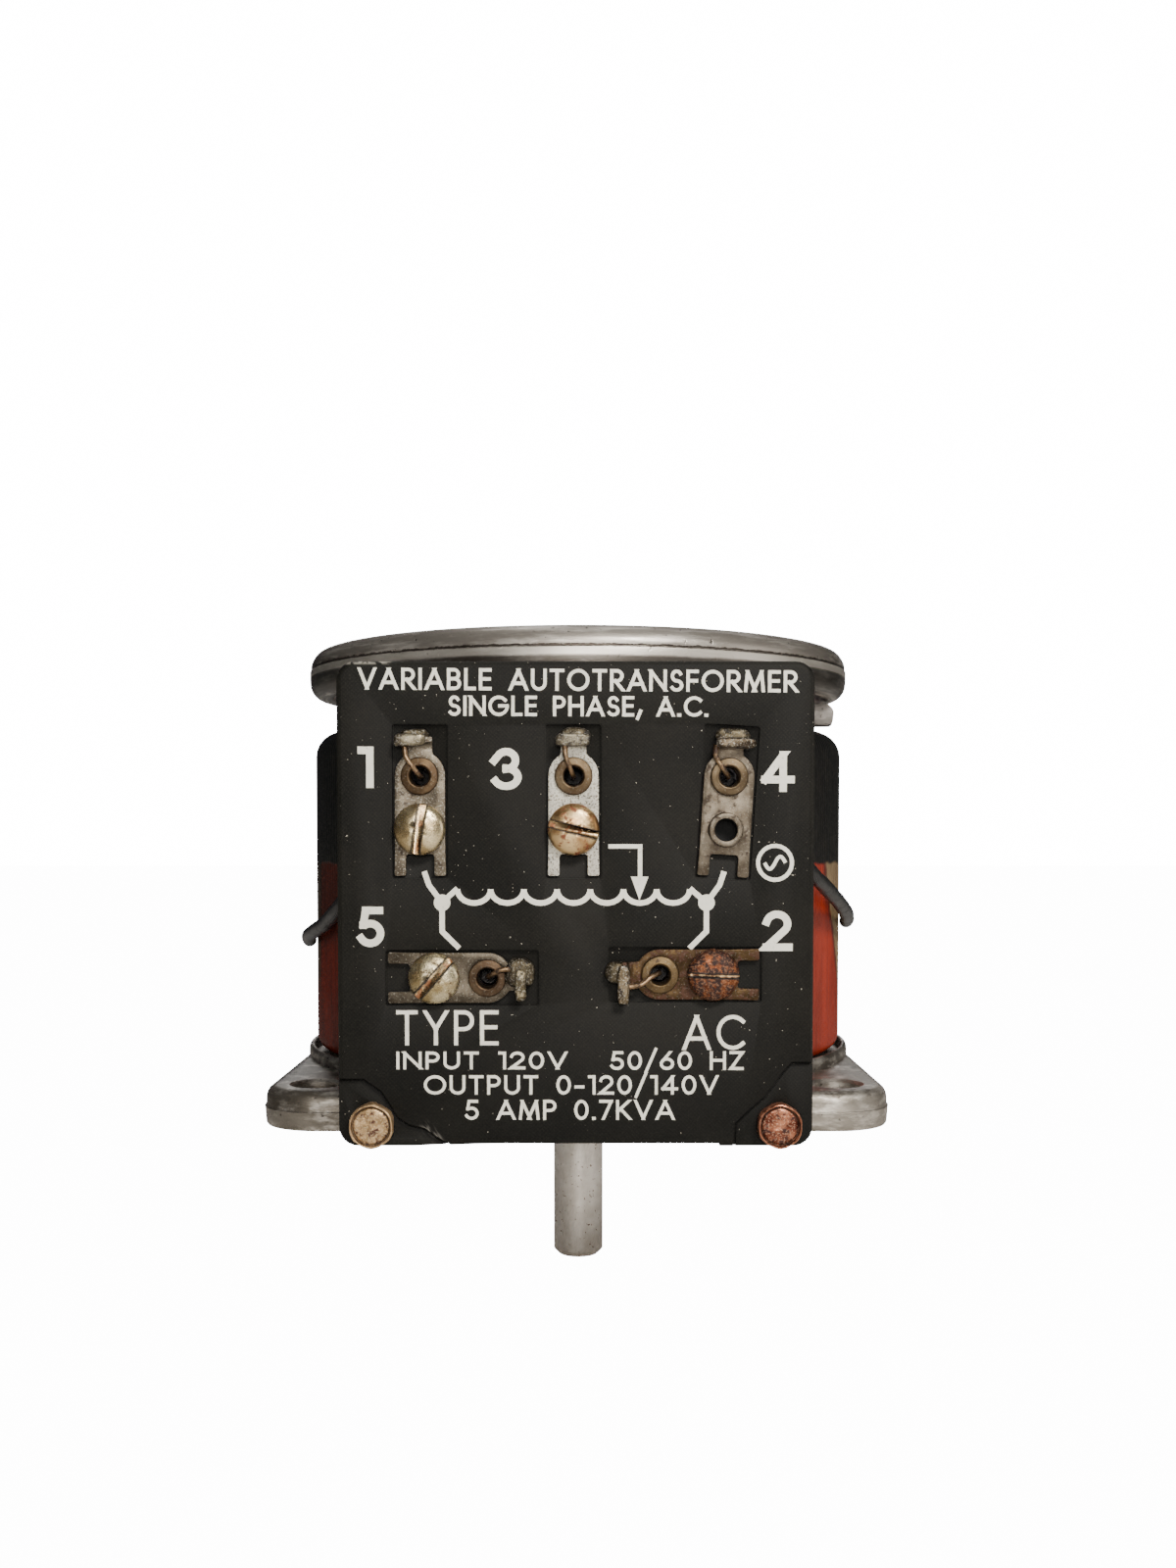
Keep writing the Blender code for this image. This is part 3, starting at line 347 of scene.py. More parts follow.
def board_plastic():
    """Black moulded phenolic: a faint cloth print, dust specks, haze, pale edges that are partly worn and
    partly a painted highlight, and painted shade towards the bottom and in terminal 4's screw hole.
    """
    p = Paint("board_phenolic", specular=0.14)
    x, y, z = p.axes()
    thread = 0.62
    wobble = p.noise(2.5, 2, seed=7) * 2.2
    weave = p.sine(x * (TURN / thread) + wobble) * p.sine(z * (TURN / thread) + wobble)
    cloud = p.noise(11, 4, seed=2)
    fine = p.noise(0.22, 3, seed=6, rough=0.6)
    color = p.mix(p.step(cloud, 0.3, 0.7), srgb(12, 12, 10), srgb(21, 20, 17))
    color = p.mix(p.step(weave, -0.2, 0.9) * 0.3, color, srgb(33, 32, 27))
    color = p.mix(p.step(fine, 0.5, 0.75) * 0.4, color, srgb(42, 41, 35))
    dust = p.step(p.noise(0.5, 2, seed=21), 0.735, 0.76) * p.step(p.noise(9, 2, seed=3), 0.35, 0.6)
    color = p.mix(dust, color, srgb(170, 165, 152))
    near = p.step(y, BOARD_FRONT + 1.1, BOARD_FRONT + 0.6)
    border = p.math("MAXIMUM", p.step(abs(x), 35.8, 36.4), p.step(z, 73.8, 74.4)) * near
    corner = p.step(z, 72, 73.4) * p.step(x, -27, -30)
    chips = border * corner * p.step(p.noise(1.4, 4, seed=17, rough=0.7), 0.44, 0.52)
    # partly wear, partly painted highlight: the front face's edges are lightened
    color = p.mix(border * 0.2, color, srgb(58, 57, 53))
    color = p.mix(chips * 0.8, color, srgb(176, 172, 160))
    right, up = x + 22.4, z - 1.8  # from the middle of the scuff beside the left foot
    along = right * 0.64 - up * 0.77
    aside = right * 0.77 + up * 0.64
    streaks = p.step(p.noise(0.55, 3, where=p.vector(along * 0.16, aside, 0.0), seed=31), 0.47, 0.62)
    scuff = streaks * p.step(abs(along), 2.6, 0.8) * p.step(abs(aside), 1.9, 0.6) * near
    color = p.mix(scuff * 0.7, color, srgb(150, 147, 140))
    # painted shade: the floor of terminal 4's blind screw hole is painted near black
    hole_x, hole_z = TERMINALS["4"][0] + 0.5, TERMINALS["4"][1] - SCREW_BELOW
    across, up = x - hole_x, z - hole_z
    inside = p.step(across * across + up * up, 5.0, 4.2)
    color = p.mix(inside, color, srgb(5, 5, 5))
    # painted shade: the board darkens towards the bottom
    color = p.mix(p.step(z, 24, 2) * 0.35, color, srgb(9, 9, 8))
    roughness = 0.46 + fine * 0.16 + cloud * 0.1 + dust * 0.2
    height = weave * 0.25 + fine * 0.55 + cloud + dust * 1.2
    return p.finish(color, roughness, height, 0.02)


def printing_ink():
    """Off-white screen ink, thin in places and a little dirty."""
    p = Paint("print_ink", specular=0.4)
    thin = p.step(p.noise(0.5, 4, seed=2, rough=0.65), 0.58, 0.75)
    dirt = p.step(p.noise(5, 3, seed=5), 0.4, 0.75)
    color = p.mix(dirt * 0.5, srgb(232, 230, 218), srgb(206, 203, 188))
    color = p.mix(thin * 0.5, color, srgb(140, 137, 126))
    return p.finish(color, 0.5 + thin * 0.2, thin, -0.01)


def winding_enamel():
    """The coil: black coating above, red enamel with tan varnish runs below, bare copper track on top,
    painted shade on its left side.
    """
    p = Paint("winding_enamel", coat=0.14, coat_roughness=0.2, specular=0.35)
    angle, radius, z = p.polar()
    degrees = angle * (360 / TURN)
    drift = p.noise(9, 3, stretch=(1, 1, 2.6), seed=3)
    edge = z + p.noise(5, 4, seed=8) * 1.8 - 0.9
    black = p.step(edge, COAT_EDGE - 0.35, COAT_EDGE + 0.35)
    slant = angle * 50 + z * 0.22 + drift * 9
    bands = p.sine(slant * (TURN / 31.4159)) + (z - COAT_EDGE) * 0.042 + drift * 0.7 - 0.3
    front = p.step(abs(degrees + 90), 110, 106)
    run = degrees + (drift - 0.5) * 9
    right = run + 26.5 + (z - COAT_EDGE) * 0.5
    left = -degrees + drift * 4 - 163.5 + (z - COAT_EDGE) * 0.06
    right = p.math("MINIMUM", right, 12 + -run + (z - COAT_EDGE) * 0.65)
    left = p.math("MINIMUM", left, 184 + run + (z - COAT_EDGE) * 0.5)
    nearest = p.mix(p.step(degrees, -91, -89), left, right)
    tan = p.mix(front, p.step(bands, 0.22, 0.42), p.step(nearest, -0.4, 0.6))
    border = p.step(nearest, -2.2, -0.6) * p.step(nearest, 0.8, -0.2)
    rim = p.mix(front, p.step(bands, 0.0, 0.25) * p.step(bands, 0.5, 0.3), border)
    lower = p.step(z, 17, 23)
    tan = tan * lower
    shaded = p.step(degrees, -130, -150)
    red = p.mix(p.noise(3, 4, stretch=(1, 1, 5), seed=4), srgb(92, 21, 9), srgb(150, 46, 22))
    varnish = p.mix(p.noise(2, 4, stretch=(1, 1, 4), seed=6), srgb(84, 70, 48), srgb(136, 116, 88))
    color = p.mix(tan, red, varnish)
    color = p.mix(rim * lower * 0.75, color, srgb(52, 24, 15))
    shade = p.step(p.noise(1.1, 3, stretch=(1, 1, 12), seed=12), 0.35, 0.7)
    color = p.mix(shade * 0.3, color, srgb(50, 18, 11))
    # painted shade: the coil's left side, away from the lamps, is darkened, more so higher up
    painted_shade_left = (0.45 + p.step(z, 24, 34) * 0.3) * shaded
    color = p.mix(painted_shade_left, color, srgb(24, 17, 11))
    coating = p.mix(p.step(p.noise(2.2, 4, seed=14), 0.4, 0.75), srgb(7, 7, 5), srgb(19, 17, 13))
    color = p.mix(black, color, coating)
    track = p.step(z, 66.35, 66.6) * p.step(radius, 31.0, 31.6) * p.step(radius, 45.6, 45.0)
    copper = p.mix(p.noise(1.5, 4, seed=16), srgb(150, 84, 52), srgb(214, 142, 100))
    arcs = p.noise(0.25, 2, where=p.vector(angle * 1.5, radius, z), seed=5)
    copper = p.mix(arcs * 0.5, copper, srgb(96, 52, 36))
    color = p.mix(track, color, copper)
    roughness = 0.36 + black * 0.04 + p.noise(1.2, 3, seed=18) * 0.22
    height = p.noise(0.7, 4, seed=19) + black * p.noise(1.8, 3, seed=20) * 1.5
    return p.finish(color, roughness, height, 0.05, track * 0.9)


def fibre(name, light, dark):
    """Vulcanised fibre or moulded board: streaky fibres and a dull waxy face."""
    p = Paint(name, specular=0.35)
    strand = p.noise(0.5, 4, stretch=(8, 1, 8), seed=2, rough=0.65)
    cross = p.noise(0.5, 4, stretch=(1, 8, 8), seed=6, rough=0.65)
    cloud = p.noise(6, 3, seed=4)
    color = p.mix(p.step(p.math("MAXIMUM", strand, cross), 0.45, 0.75), dark, light)
    color = p.mix(cloud * 0.35, color, dark)
    return p.finish(color, 0.5 + strand * 0.25, strand + cross, 0.02)


def sleeve():
    """Black varnished braid: two crossing sets of strands with a little dust in them."""
    p = Paint("lead_sleeve", specular=0.5)
    x, y, z = p.axes()
    one = p.sine((x + y + z) * (TURN / 0.55))
    two = p.sine((x + -y + -z) * (TURN / 0.55))
    braid = p.math("MAXIMUM", one, two)
    dust = p.step(p.noise(1.6, 4, seed=3), 0.5, 0.8)
    color = p.mix(dust * 0.5, srgb(14, 14, 14), srgb(46, 45, 43))
    color = p.mix(p.step(braid, 0.2, 1) * 0.25, color, srgb(36, 35, 34))
    return p.finish(color, 0.38 + dust * 0.2, braid, 0.02)


def carbon():
    p = Paint("brush_carbon", specular=0.6)
    grain = p.noise(0.15, 3, seed=1)
    worn = p.noise(1.0, 4, stretch=(6, 6, 1), seed=4)
    color = p.mix(p.step(grain, 0.4, 0.7), srgb(26, 26, 28), srgb(58, 58, 61))
    return p.finish(color, 0.32 + worn * 0.2, grain + worn, 0.02)


def strip_core():
    """Edge of a wound steel strip: close rings, some rust between them."""
    p = Paint("core_steel", metallic=0.9)
    _, radius, _ = p.polar()
    layers = p.sine(radius * (TURN / 0.35))
    rust = p.step(p.noise(3, 4, seed=6), 0.5, 0.7)
    color = p.mix(p.step(layers, -0.3, 0.6), srgb(58, 54, 50), srgb(128, 124, 118))
    color = p.mix(rust * 0.6, color, srgb(98, 58, 36))
    return p.finish(color, 0.4 + rust * 0.3, layers, 0.03)


BOARD = board_plastic()
INK = printing_ink()
ENAMEL = winding_enamel()
SLEEVE = sleeve()
CARBON = carbon()
CORE = strip_core()
CASTING = cast_metal("base_aluminium", srgb(90, 84, 75), srgb(148, 142, 133), srgb(214, 208, 199))
RADIATOR = cast_metal("radiator_aluminium", srgb(88, 82, 74), srgb(160, 154, 146), srgb(236, 231, 222), True)
HOLDER = cast_metal("holder_aluminium", srgb(84, 80, 76), srgb(116, 112, 108), srgb(156, 152, 146))
SHAFT = turned_metal("shaft_steel", srgb(246, 241, 234), srgb(212, 205, 196), srgb(128, 106, 86))
STEEL = turned_metal("plated_steel", srgb(150, 146, 138), srgb(106, 101, 92), srgb(96, 68, 44), rough=0.32)
BRONZE = turned_metal("oiled_bronze", srgb(150, 108, 66), srgb(104, 70, 42), srgb(62, 42, 28))
BRASS = turned_metal("contact_brass", srgb(186, 150, 88), srgb(134, 102, 56), srgb(84, 60, 36))
FIBRE = fibre("red_fibre", srgb(112, 62, 44), srgb(66, 34, 26))
PAPER = fibre("grey_fibre", srgb(92, 86, 76), srgb(58, 54, 48))
CAP = fibre("cap_phenolic", srgb(40, 36, 33), srgb(22, 20, 19))
PLATES = {
    "1": tarnished("terminal_plate_1", srgb(114, 106, 92), srgb(86, 78, 66), srgb(64, 54, 41), 0.4, 0.25),
    "2": tarnished("terminal_plate_2", srgb(70, 54, 34), srgb(50, 37, 23), srgb(68, 40, 22), 0.6, 0.1),
    "3": tarnished("terminal_plate_3", srgb(166, 160, 146), srgb(118, 111, 97), srgb(44, 37, 27), 0.5, 0.7),
    "4": tarnished("terminal_plate_4", srgb(106, 98, 86), srgb(74, 66, 55), srgb(58, 47, 35), 0.4, 0.12),
    "5": tarnished("terminal_plate_5", srgb(84, 77, 66), srgb(60, 54, 44), srgb(70, 60, 46), 0.35, 0.15),
}
LUG = tarnished("lug_dull_tin", srgb(78, 71, 55), srgb(52, 45, 33), srgb(30, 24, 17), 0.5, 0.2, rough=0.36)
EYELET = {
    name: tarnished(f"eyelet_{name}_brass", clean, dull, srgb(70, 54, 38), 0.3, 0.08, rough=0.36)
    for name, clean, dull in (
        ("1", srgb(88, 72, 52), srgb(64, 50, 35)), ("2", srgb(92, 76, 52), srgb(70, 56, 37)),
        ("3", srgb(94, 80, 60), srgb(70, 56, 40)), ("4", srgb(92, 79, 60), srgb(70, 58, 42)),
        ("5", srgb(88, 72, 54), srgb(64, 50, 37)))
}
WIRE = tarnished("tinned_wire", srgb(150, 124, 96), srgb(92, 74, 54), srgb(54, 38, 26), 0.5, 0.1, rough=0.28)
SOLDER = {
    name: tarnished(f"solder_{name}", clean, dull, stain, 0.5, 0.25, rough=0.3)
    for name, clean, dull, stain in (
        ("1", srgb(134, 126, 106), srgb(78, 71, 56), srgb(38, 31, 22)),
        ("2", srgb(112, 100, 80), srgb(70, 60, 44), srgb(40, 30, 20)),
        ("3", srgb(112, 106, 91), srgb(72, 66, 54), srgb(36, 31, 23)),
        ("4", srgb(84, 74, 59), srgb(50, 42, 32), srgb(28, 22, 15)),
        ("5", srgb(112, 103, 82), srgb(68, 60, 44), srgb(38, 31, 21)))
}
HEADS = {
    name: tarnished(f"screw_{name}_head", *colors, *looks, slot=screw_slot(name))
    for name, colors, looks in (
        ("1", (srgb(206, 190, 152), srgb(150, 130, 94), srgb(104, 66, 38)), (0.3, 0.0, srgb(0, 0, 0), 0.22)),
        ("2", (srgb(122, 74, 46), srgb(76, 38, 24), srgb(38, 16, 10)), (0.7, 0.3, srgb(176, 130, 98), 0.34)),
        ("3", (srgb(204, 176, 130), srgb(150, 114, 74), srgb(112, 62, 34)),
         (0.5, 0.1, srgb(220, 200, 160), 0.24)),
        ("5", (srgb(206, 194, 160), srgb(140, 122, 86), srgb(78, 62, 38)),
         (0.45, 0.1, srgb(226, 216, 186), 0.22)),
    )
}
HEX = {
    name: tarnished(f"hex_{name}_{kind}", *looks, depth=0.03, ring=(x, BOARD_SCREW_Z))
    for (name, x), kind, looks in zip(BOARD_SCREWS, ("zinc", "rust"), (
        (srgb(196, 164, 124), srgb(146, 118, 82), srgb(74, 44, 27), 0.55, 0.34, srgb(226, 206, 168), 0.34),
        (srgb(176, 116, 88), srgb(86, 42, 28), srgb(52, 22, 15), 0.55, 0.26, srgb(246, 206, 176), 0.3),
    ))
}


# Mesh helpers ------------------------------------------------------------------------------------


def polish(mesh, angle=35):
    """Outward normals, smooth shading and sharp edges where faces meet at more than the angle."""
    shape = bmesh.new()
    shape.from_mesh(mesh)
    bmesh.ops.recalc_face_normals(shape, faces=shape.faces)
    shape.to_mesh(mesh)
    shape.free()
    mesh.shade_smooth()
    mesh.set_sharp_from_angle(angle=math.radians(angle))


def make(name, points, faces, material, matrix=Matrix()):
    """A mesh piece from points in millimetres, moved by matrix."""
    mesh = bpy.data.meshes.new(name)
    mesh.from_pydata([(matrix @ Vector(p)) * MM for p in points], [], faces)
    mesh.materials.append(material)
    obj = bpy.data.objects.new(name, mesh)
    bpy.context.scene.collection.objects.link(obj)
    polish(mesh)
    return obj


def settle(obj, angle=35):
    """Applies the object's modifiers."""
    graph = bpy.context.evaluated_depsgraph_get()
    mesh = bpy.data.meshes.new_from_object(obj.evaluated_get(graph))
    obj.modifiers.clear()
    obj.data = mesh
    polish(mesh, angle)
    return obj


def combine(obj, tools, operation="DIFFERENCE"):
    """Cuts the tools out of obj, or joins them to it, and removes them."""
    for tool in tools:
        modifier = obj.modifiers.new("combine", "BOOLEAN")
        modifier.operation = operation
        modifier.solver = "EXACT"
        modifier.object = tool
    settle(obj)
    for tool in tools:
        bpy.data.objects.remove(tool, do_unlink=True)
    return obj


def soften(obj, width, segments=2, angle=38):
    """Rounds the sharp edges."""
    modifier = obj.modifiers.new("soften", "BEVEL")
    modifier.width = width * MM
    modifier.segments = segments
    modifier.limit_method = "ANGLE"
    modifier.angle_limit = math.radians(angle)
    modifier.use_clamp_overlap = True
    return settle(obj)


def rounded(points, radius, steps=3, closed=True):
    """The same outline with every corner rounded; a point may bring its own radius as a third value."""
    count = len(points)
    result = []
    for i, point in enumerate(points):
        here = Vector(point[:2])
        size = point[2] if len(point) > 2 else radius
        if size <= 0 or not closed and i in (0, count - 1):
            result.append(tuple(here))
            continue
        before = Vector(points[i - 1][:2]) - here
        after = Vector(points[(i + 1) % count][:2]) - here
        a = here + before * min(size / before.length, 0.5)
        b = here + after * min(size / after.length, 0.5)
        for k in range(steps + 1):
            t = k / steps
            result.append(tuple(a * (1 - t) ** 2 + here * 2 * t * (1 - t) + b * t * t))
    return result


def arc(x, y, radius, start, end, steps, tall=None):
    """Points on an arc, angles in degrees."""
    tall = radius if tall is None else tall
    angles = [math.radians(start + (end - start) * i / steps) for i in range(steps + 1)]
    return [(x + radius * math.cos(a), y + tall * math.sin(a)) for a in angles]


def rectangle(x0, y0, x1, y1, radius=0.0, steps=5):
    if radius <= 0:
        return [(x0, y0), (x1, y0), (x1, y1), (x0, y1)]
    points = arc(x1 - radius, y1 - radius, radius, 0, 90, steps)
    points += arc(x0 + radius, y1 - radius, radius, 90, 180, steps)
    points += arc(x0 + radius, y0 + radius, radius, 180, 270, steps)
    points += arc(x1 - radius, y0 + radius, radius, 270, 360, steps)
    return points


def loft(name, loops, material, closed=False, matrix=Matrix()):
    """Joins closed loops of equal length into a skin; an open row of loops is capped at both ends."""
    size = len(loops[0])
    points = [p for loop in loops for p in loop]
    faces = []
    for i in range(len(loops) if closed else len(loops) - 1):
        a, b = i * size, (i + 1) % len(loops) * size
        faces += [(a + k, a + (k + 1) % size, b + (k + 1) % size, b + k) for k in range(size)]
    if not closed:
        faces.append(tuple(reversed(range(size))))
        faces.append(tuple(range(len(points) - size, len(points))))
    return make(name, points, faces, material, matrix)


def lathe(name, profile, material, segments=64, closed=False, matrix=Matrix()):
    """A profile of (radius, height) turned about Z; closed joins its end to its start, for a ring."""
    angles = [TURN * i / segments for i in range(segments)]
    loops = [[(r * math.cos(a), r * math.sin(a), z) for a in angles] for r, z in profile]
    return loft(name, loops, material, closed, matrix)


def ring(name, inner, outer, bottom, top, material, segments=64, edge=0.15):
    profile = rounded([(outer, bottom), (outer, top), (inner, top), (inner, bottom)], edge)
    return lathe(name, profile, material, segments, True)


def rod(name, radius, bottom, top, material=CASTING, segments=32, matrix=Matrix()):
    return lathe(name, [(radius, bottom), (radius, top)], material, segments, matrix=matrix)


def prism(name, outline, low, high, material=CASTING, matrix=Matrix()):
    """A flat outline made thick along Z."""
    return loft(name, [[(x, y, z) for x, y in outline] for z in (low, high)], material, matrix=matrix)


def sweep(name, path, radius, material, sides=12, matrix=Matrix(), taper=None):
    """A round rod along a path of points; taper gives the radius at each share of its length."""
    knots = [Vector(p) for p in path]
    side = (knots[1] - knots[0]).orthogonal().normalized()
    loops = []
    for i, here in enumerate(knots):
        ahead = (knots[min(i + 1, len(knots) - 1)] - knots[max(i - 1, 0)]).normalized()
        side = (side - ahead * side.dot(ahead)).normalized()
        other = ahead.cross(side)
        size = radius * (taper(i / (len(knots) - 1)) if taper else 1)
        angles = [TURN * k / sides for k in range(sides)]
        loops.append([here + side * size * math.cos(a) + other * size * math.sin(a) for a in angles])
    return loft(name, loops, material, matrix=matrix)


def smooth_path(points, step):
    """Points about a step apart on a smooth curve through the given ones."""
    knots = [Vector(p) for p in points]
    knots = [2 * knots[0] - knots[1], *knots, 2 * knots[-1] - knots[-2]]
    path = []
    for a, b, c, d in zip(knots, knots[1:], knots[2:], knots[3:]):
        count = max(1, round((c - b).length / step))
        for i in range(count):
            t = i / count
            path.append(0.5 * (2 * b + (c - a) * t + (2 * a - 5 * b + 4 * c - d) * t**2
                               + (3 * b - a - 3 * c + d) * t**3))
    path.append(knots[-2])
    return path


def roughen(obj, size, amount, seed=0.0):
    """Moves every vertex a little along its normal, for cast, soldered or corroded surfaces."""
    mesh = obj.data
    for vertex, normal in zip(mesh.vertices, [v.normal.copy() for v in mesh.vertices]):
        where = vertex.co / (size * MM) + Vector((seed, seed, seed))
        vertex.co += normal * noise.noise(where) * amount * MM
    return obj


def turn_z(angle):
    return Matrix.Rotation(angle, 4, "Z")


def shift(x=0.0, y=0.0, z=0.0):
    return Matrix.Translation((x, y, z))


STAND = Matrix.Rotation(math.radians(90), 4, "X")  # an outline's Y becomes +Z and its Z becomes -Y
CLAMP_SCREWS = [turn_z(math.radians(degrees)) @ shift(14.5) for degrees in (90, 210, 330)]
BRUSH_SIDE = turn_z(BRUSH_ANGLE)
BRUSH_SCREW = BRUSH_SIDE @ shift(30)


def show(obj, body, slot, *nodes):
    """Hangs a finished piece on a CAD body, in place of the CAD nodes that it stands for."""
    if nodes:
        obj.name = f"{nodes[0]}_detail"
    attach(obj, body)
    if nodes:
        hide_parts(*nodes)
    return obj


def slab(name, box, corner, rows, material, matrix=Matrix(), steps=6):
    """A rounded rectangle lofted along Z; each row gives how far it is inset, and its height."""
    x0, y0, x1, y1 = box
    loops = []
    for inset, z in rows:
        outline = rectangle(x0 + inset, y0 + inset, x1 - inset, y1 - inset, max(corner - inset, 0.05), steps)
        loops.append([(x, y, z) for x, y in outline])
    return loft(name, loops, material, matrix=matrix)


def edge_rows(low, high, low_round, high_round, steps=4):
    """Rows for slab() with both of its edges rounded."""
    quarter = [math.pi / 2 * i / steps for i in range(steps + 1)]
    rows = [(low_round * (1 - math.sin(a)), low + low_round * (1 - math.cos(a))) for a in quarter]
    return rows + [(high_round * (1 - math.cos(a)), high - high_round * (1 - math.sin(a))) for a in quarter]


def ribbon(name, path, half_widths, thickness, material, matrix=Matrix()):
    """A strip of sheet metal bent along a path in the YZ plane, with its width along X."""
    loops = []
    for i, (y, z) in enumerate(path):
        ahead = Vector(path[min(i + 1, len(path) - 1)]) - Vector(path[max(i - 1, 0)])
        ahead.normalize()
        across = Vector((-ahead.y, ahead.x)) * thickness / 2
        share = i / (len(path) - 1) * (len(half_widths) - 1)
        low = min(int(share), len(half_widths) - 2)
        half = half_widths[low] + (half_widths[low + 1] - half_widths[low]) * (share - low)
        section = rectangle(-half, -1, half, 1)
        section = rounded(section, min(0.3, half / 2), 2)
        loops.append([(x, y + across.x * s, z + across.y * s) for x, s in section])
    return loft(name, loops, material, matrix=matrix)


def lump(name, size, middle, material, matrix=Matrix(), seed=1.0, amount=0.3, square=0.6):
    """A rounded uneven block, as of solder over folded metal."""

    def power(value):
        return math.copysign(abs(value) ** square, value)

    loops = []
    for i in range(1, 20):
        v = math.pi * (i / 20 - 0.5)
        loop = []
        for k in range(28):
            w = TURN * k / 28
            wide = power(math.cos(v))
            unit = (power(math.sin(v)), wide * power(math.cos(w)), wide * power(math.sin(w)))
            loop.append([m + u * s / 2 for m, u, s in zip(middle, unit, size)])
        loops.append(loop)
    return roughen(loft(name, loops, material, matrix=matrix), 0.9, amount, seed)


# Lettering ---------------------------------------------------------------------------------------


def bow(x, y, wide, tall, start, end):
    steps = max(4, round(abs(end - start) / 14))
    return arc(x, y, wide, start, end, steps, tall)


# Each glyph: its width for a height of 1, then its strokes as lines of points
BOWL = [(0, 1), *bow(0.28, 0.73, 0.27, 0.27, 90, -90), (0, 0.46)]
GLYPHS = {
    "A": (0.84, [(0, 0), (0.42, 1), (0.84, 0)], [(0.13, 0.3), (0.71, 0.3)]),
    "B": (0.58, [(0, 0), (0, 1), *bow(0.28, 0.76, 0.25, 0.24, 90, -90), (0, 0.52)],
          [(0, 0.52), *bow(0.3, 0.26, 0.28, 0.26, 90, -90), (0, 0)]),
    "C": (0.84, bow(0.5, 0.5, 0.5, 0.5, 45, 315)),
    "E": (0.5, [(0.5, 1), (0, 1), (0, 0), (0.5, 0)], [(0, 0.52), (0.46, 0.52)]),
    "F": (0.48, [(0.48, 1), (0, 1), (0, 0)], [(0, 0.5), (0.44, 0.5)]),
    "G": (0.98, [*bow(0.5, 0.5, 0.5, 0.5, 42, 355), (0.98, 0.5), (0.56, 0.5)]),
    "H": (0.7, [(0, 0), (0, 1)], [(0.7, 0), (0.7, 1)], [(0, 0.52), (0.7, 0.52)]),
    "I": (0.0, [(0, 0), (0, 1)]),
    "K": (0.62, [(0, 0), (0, 1)], [(0.58, 1), (0.02, 0.42)], [(0.16, 0.56), (0.62, 0)]),
    "L": (0.45, [(0, 1), (0, 0), (0.45, 0)]),
    "M": (0.94, [(0, 0), (0.1, 1), (0.47, 0.1), (0.84, 1), (0.94, 0)]),
    "N": (0.76, [(0, 0), (0, 1), (0.76, 0), (0.76, 1)]),
    "O": (1.0, bow(0.5, 0.5, 0.5, 0.5, 0, 188), bow(0.5, 0.5, 0.5, 0.5, 180, 368)),
    "P": (0.55, [(0, 0), (0, 1)], BOWL),
    "R": (0.58, [(0, 0), (0, 1)], BOWL, [(0.2, 0.46), (0.58, 0)]),
    "S": (0.54, [*bow(0.27, 0.745, 0.23, 0.255, 28, 262), *bow(0.27, 0.245, 0.27, 0.245, 82, -150)]),
    "T": (0.6, [(0, 1), (0.6, 1)], [(0.3, 1), (0.3, 0)]),
    "U": (0.66, [(0, 1), *bow(0.33, 0.33, 0.33, 0.33, 180, 360), (0.66, 1)]),
    "V": (0.8, [(0, 1), (0.4, 0), (0.8, 1)]),
    "Y": (0.7, [(0, 1), (0.35, 0.46), (0.7, 1)], [(0.35, 0.5), (0.35, 0)]),
    "Z": (0.6, [(0, 1), (0.6, 1), (0, 0), (0.6, 0)]),
    "0": (0.6, bow(0.3, 0.5, 0.3, 0.5, 0, 188), bow(0.3, 0.5, 0.3, 0.5, 180, 368)),
    "1": (0.24, [(0, 1), (0.24, 1), (0.24, 0)]),
    "2": (0.6, [*bow(0.29, 0.71, 0.29, 0.29, 168, -38), (0, 0), (0.62, 0)]),
    "3": (0.56, bow(0.26, 0.75, 0.24, 0.25, 150, -90), bow(0.26, 0.26, 0.3, 0.26, 90, -155)),
    "4": (0.72, [(0.5, 0), (0.5, 1), (0, 0.26), (0.72, 0.26)]),
    "5": (0.58, [(0.54, 1), (0.14, 1), (0.07, 0.56), *bow(0.27, 0.3, 0.3, 0.3, 118, -152)]),
    "6": (0.6, [(0.44, 1), (0.05, 0.44)], bow(0.3, 0.3, 0.3, 0.3, 0, 188), bow(0.3, 0.3, 0.3, 0.3, 180, 368)),
    "7": (0.56, [(0, 1), (0.56, 1), (0.16, 0)]),
    "/": (0.42, [(0, -0.08), (0.42, 1.08)]),
    "-": (0.36, [(0, 0.38), (0.36, 0.38)]),
    ".": (0.04, [(0.0, 0.0), (0.04, 0.0)]),
    ",": (0.04, [(0.06, 0.08), (-0.05, -0.2)]),
}
SPACE = 0.42
LETTER_GAP = 0.34


def split(points):
    """Cuts a line of points wherever it turns sharply, so that each piece makes a clean band."""
    lines = [[Vector(points[0])]]
    for i in range(1, len(points)):
        here = Vector(points[i])
        lines[-1].append(here)
        if i < len(points) - 1:
            turning = (here - Vector(points[i - 1])).angle(Vector(points[i + 1]) - here, 0)
            if turning > math.radians(50):
                lines.append([here])
    return lines


def lengthen(line, low, high, width):
    """Runs a line on past both ends, so that bands fill their corners and reach the letter's edges."""
    for end, other in ((0, 1), (-1, -2)):
        ahead = (line[end] - line[other]).normalized()
        slanted = min(abs(ahead.x), abs(ahead.y)) > 0.12
        edge = min(abs(line[end].y - low), abs(line[end].y - high)) < 0.6 * width
        line[end] = line[end] + ahead * width * (1.3 if slanted and edge else 0.5)
    return line


def clip(polygon, low, high):
    """The part of a polygon between two heights."""
    for level, sign in ((low, 1), (high, -1)):
        kept = []
        for a, b in zip(polygon, polygon[1:] + polygon[:1]):
            inside_a, inside_b = (a.y - level) * sign >= 0, (b.y - level) * sign >= 0
            if inside_a:
                kept.append(a)
            if inside_a != inside_b:
                kept.append(a.lerp(b, (level - a.y) / (b.y - a.y)))
        polygon = kept
    return polygon


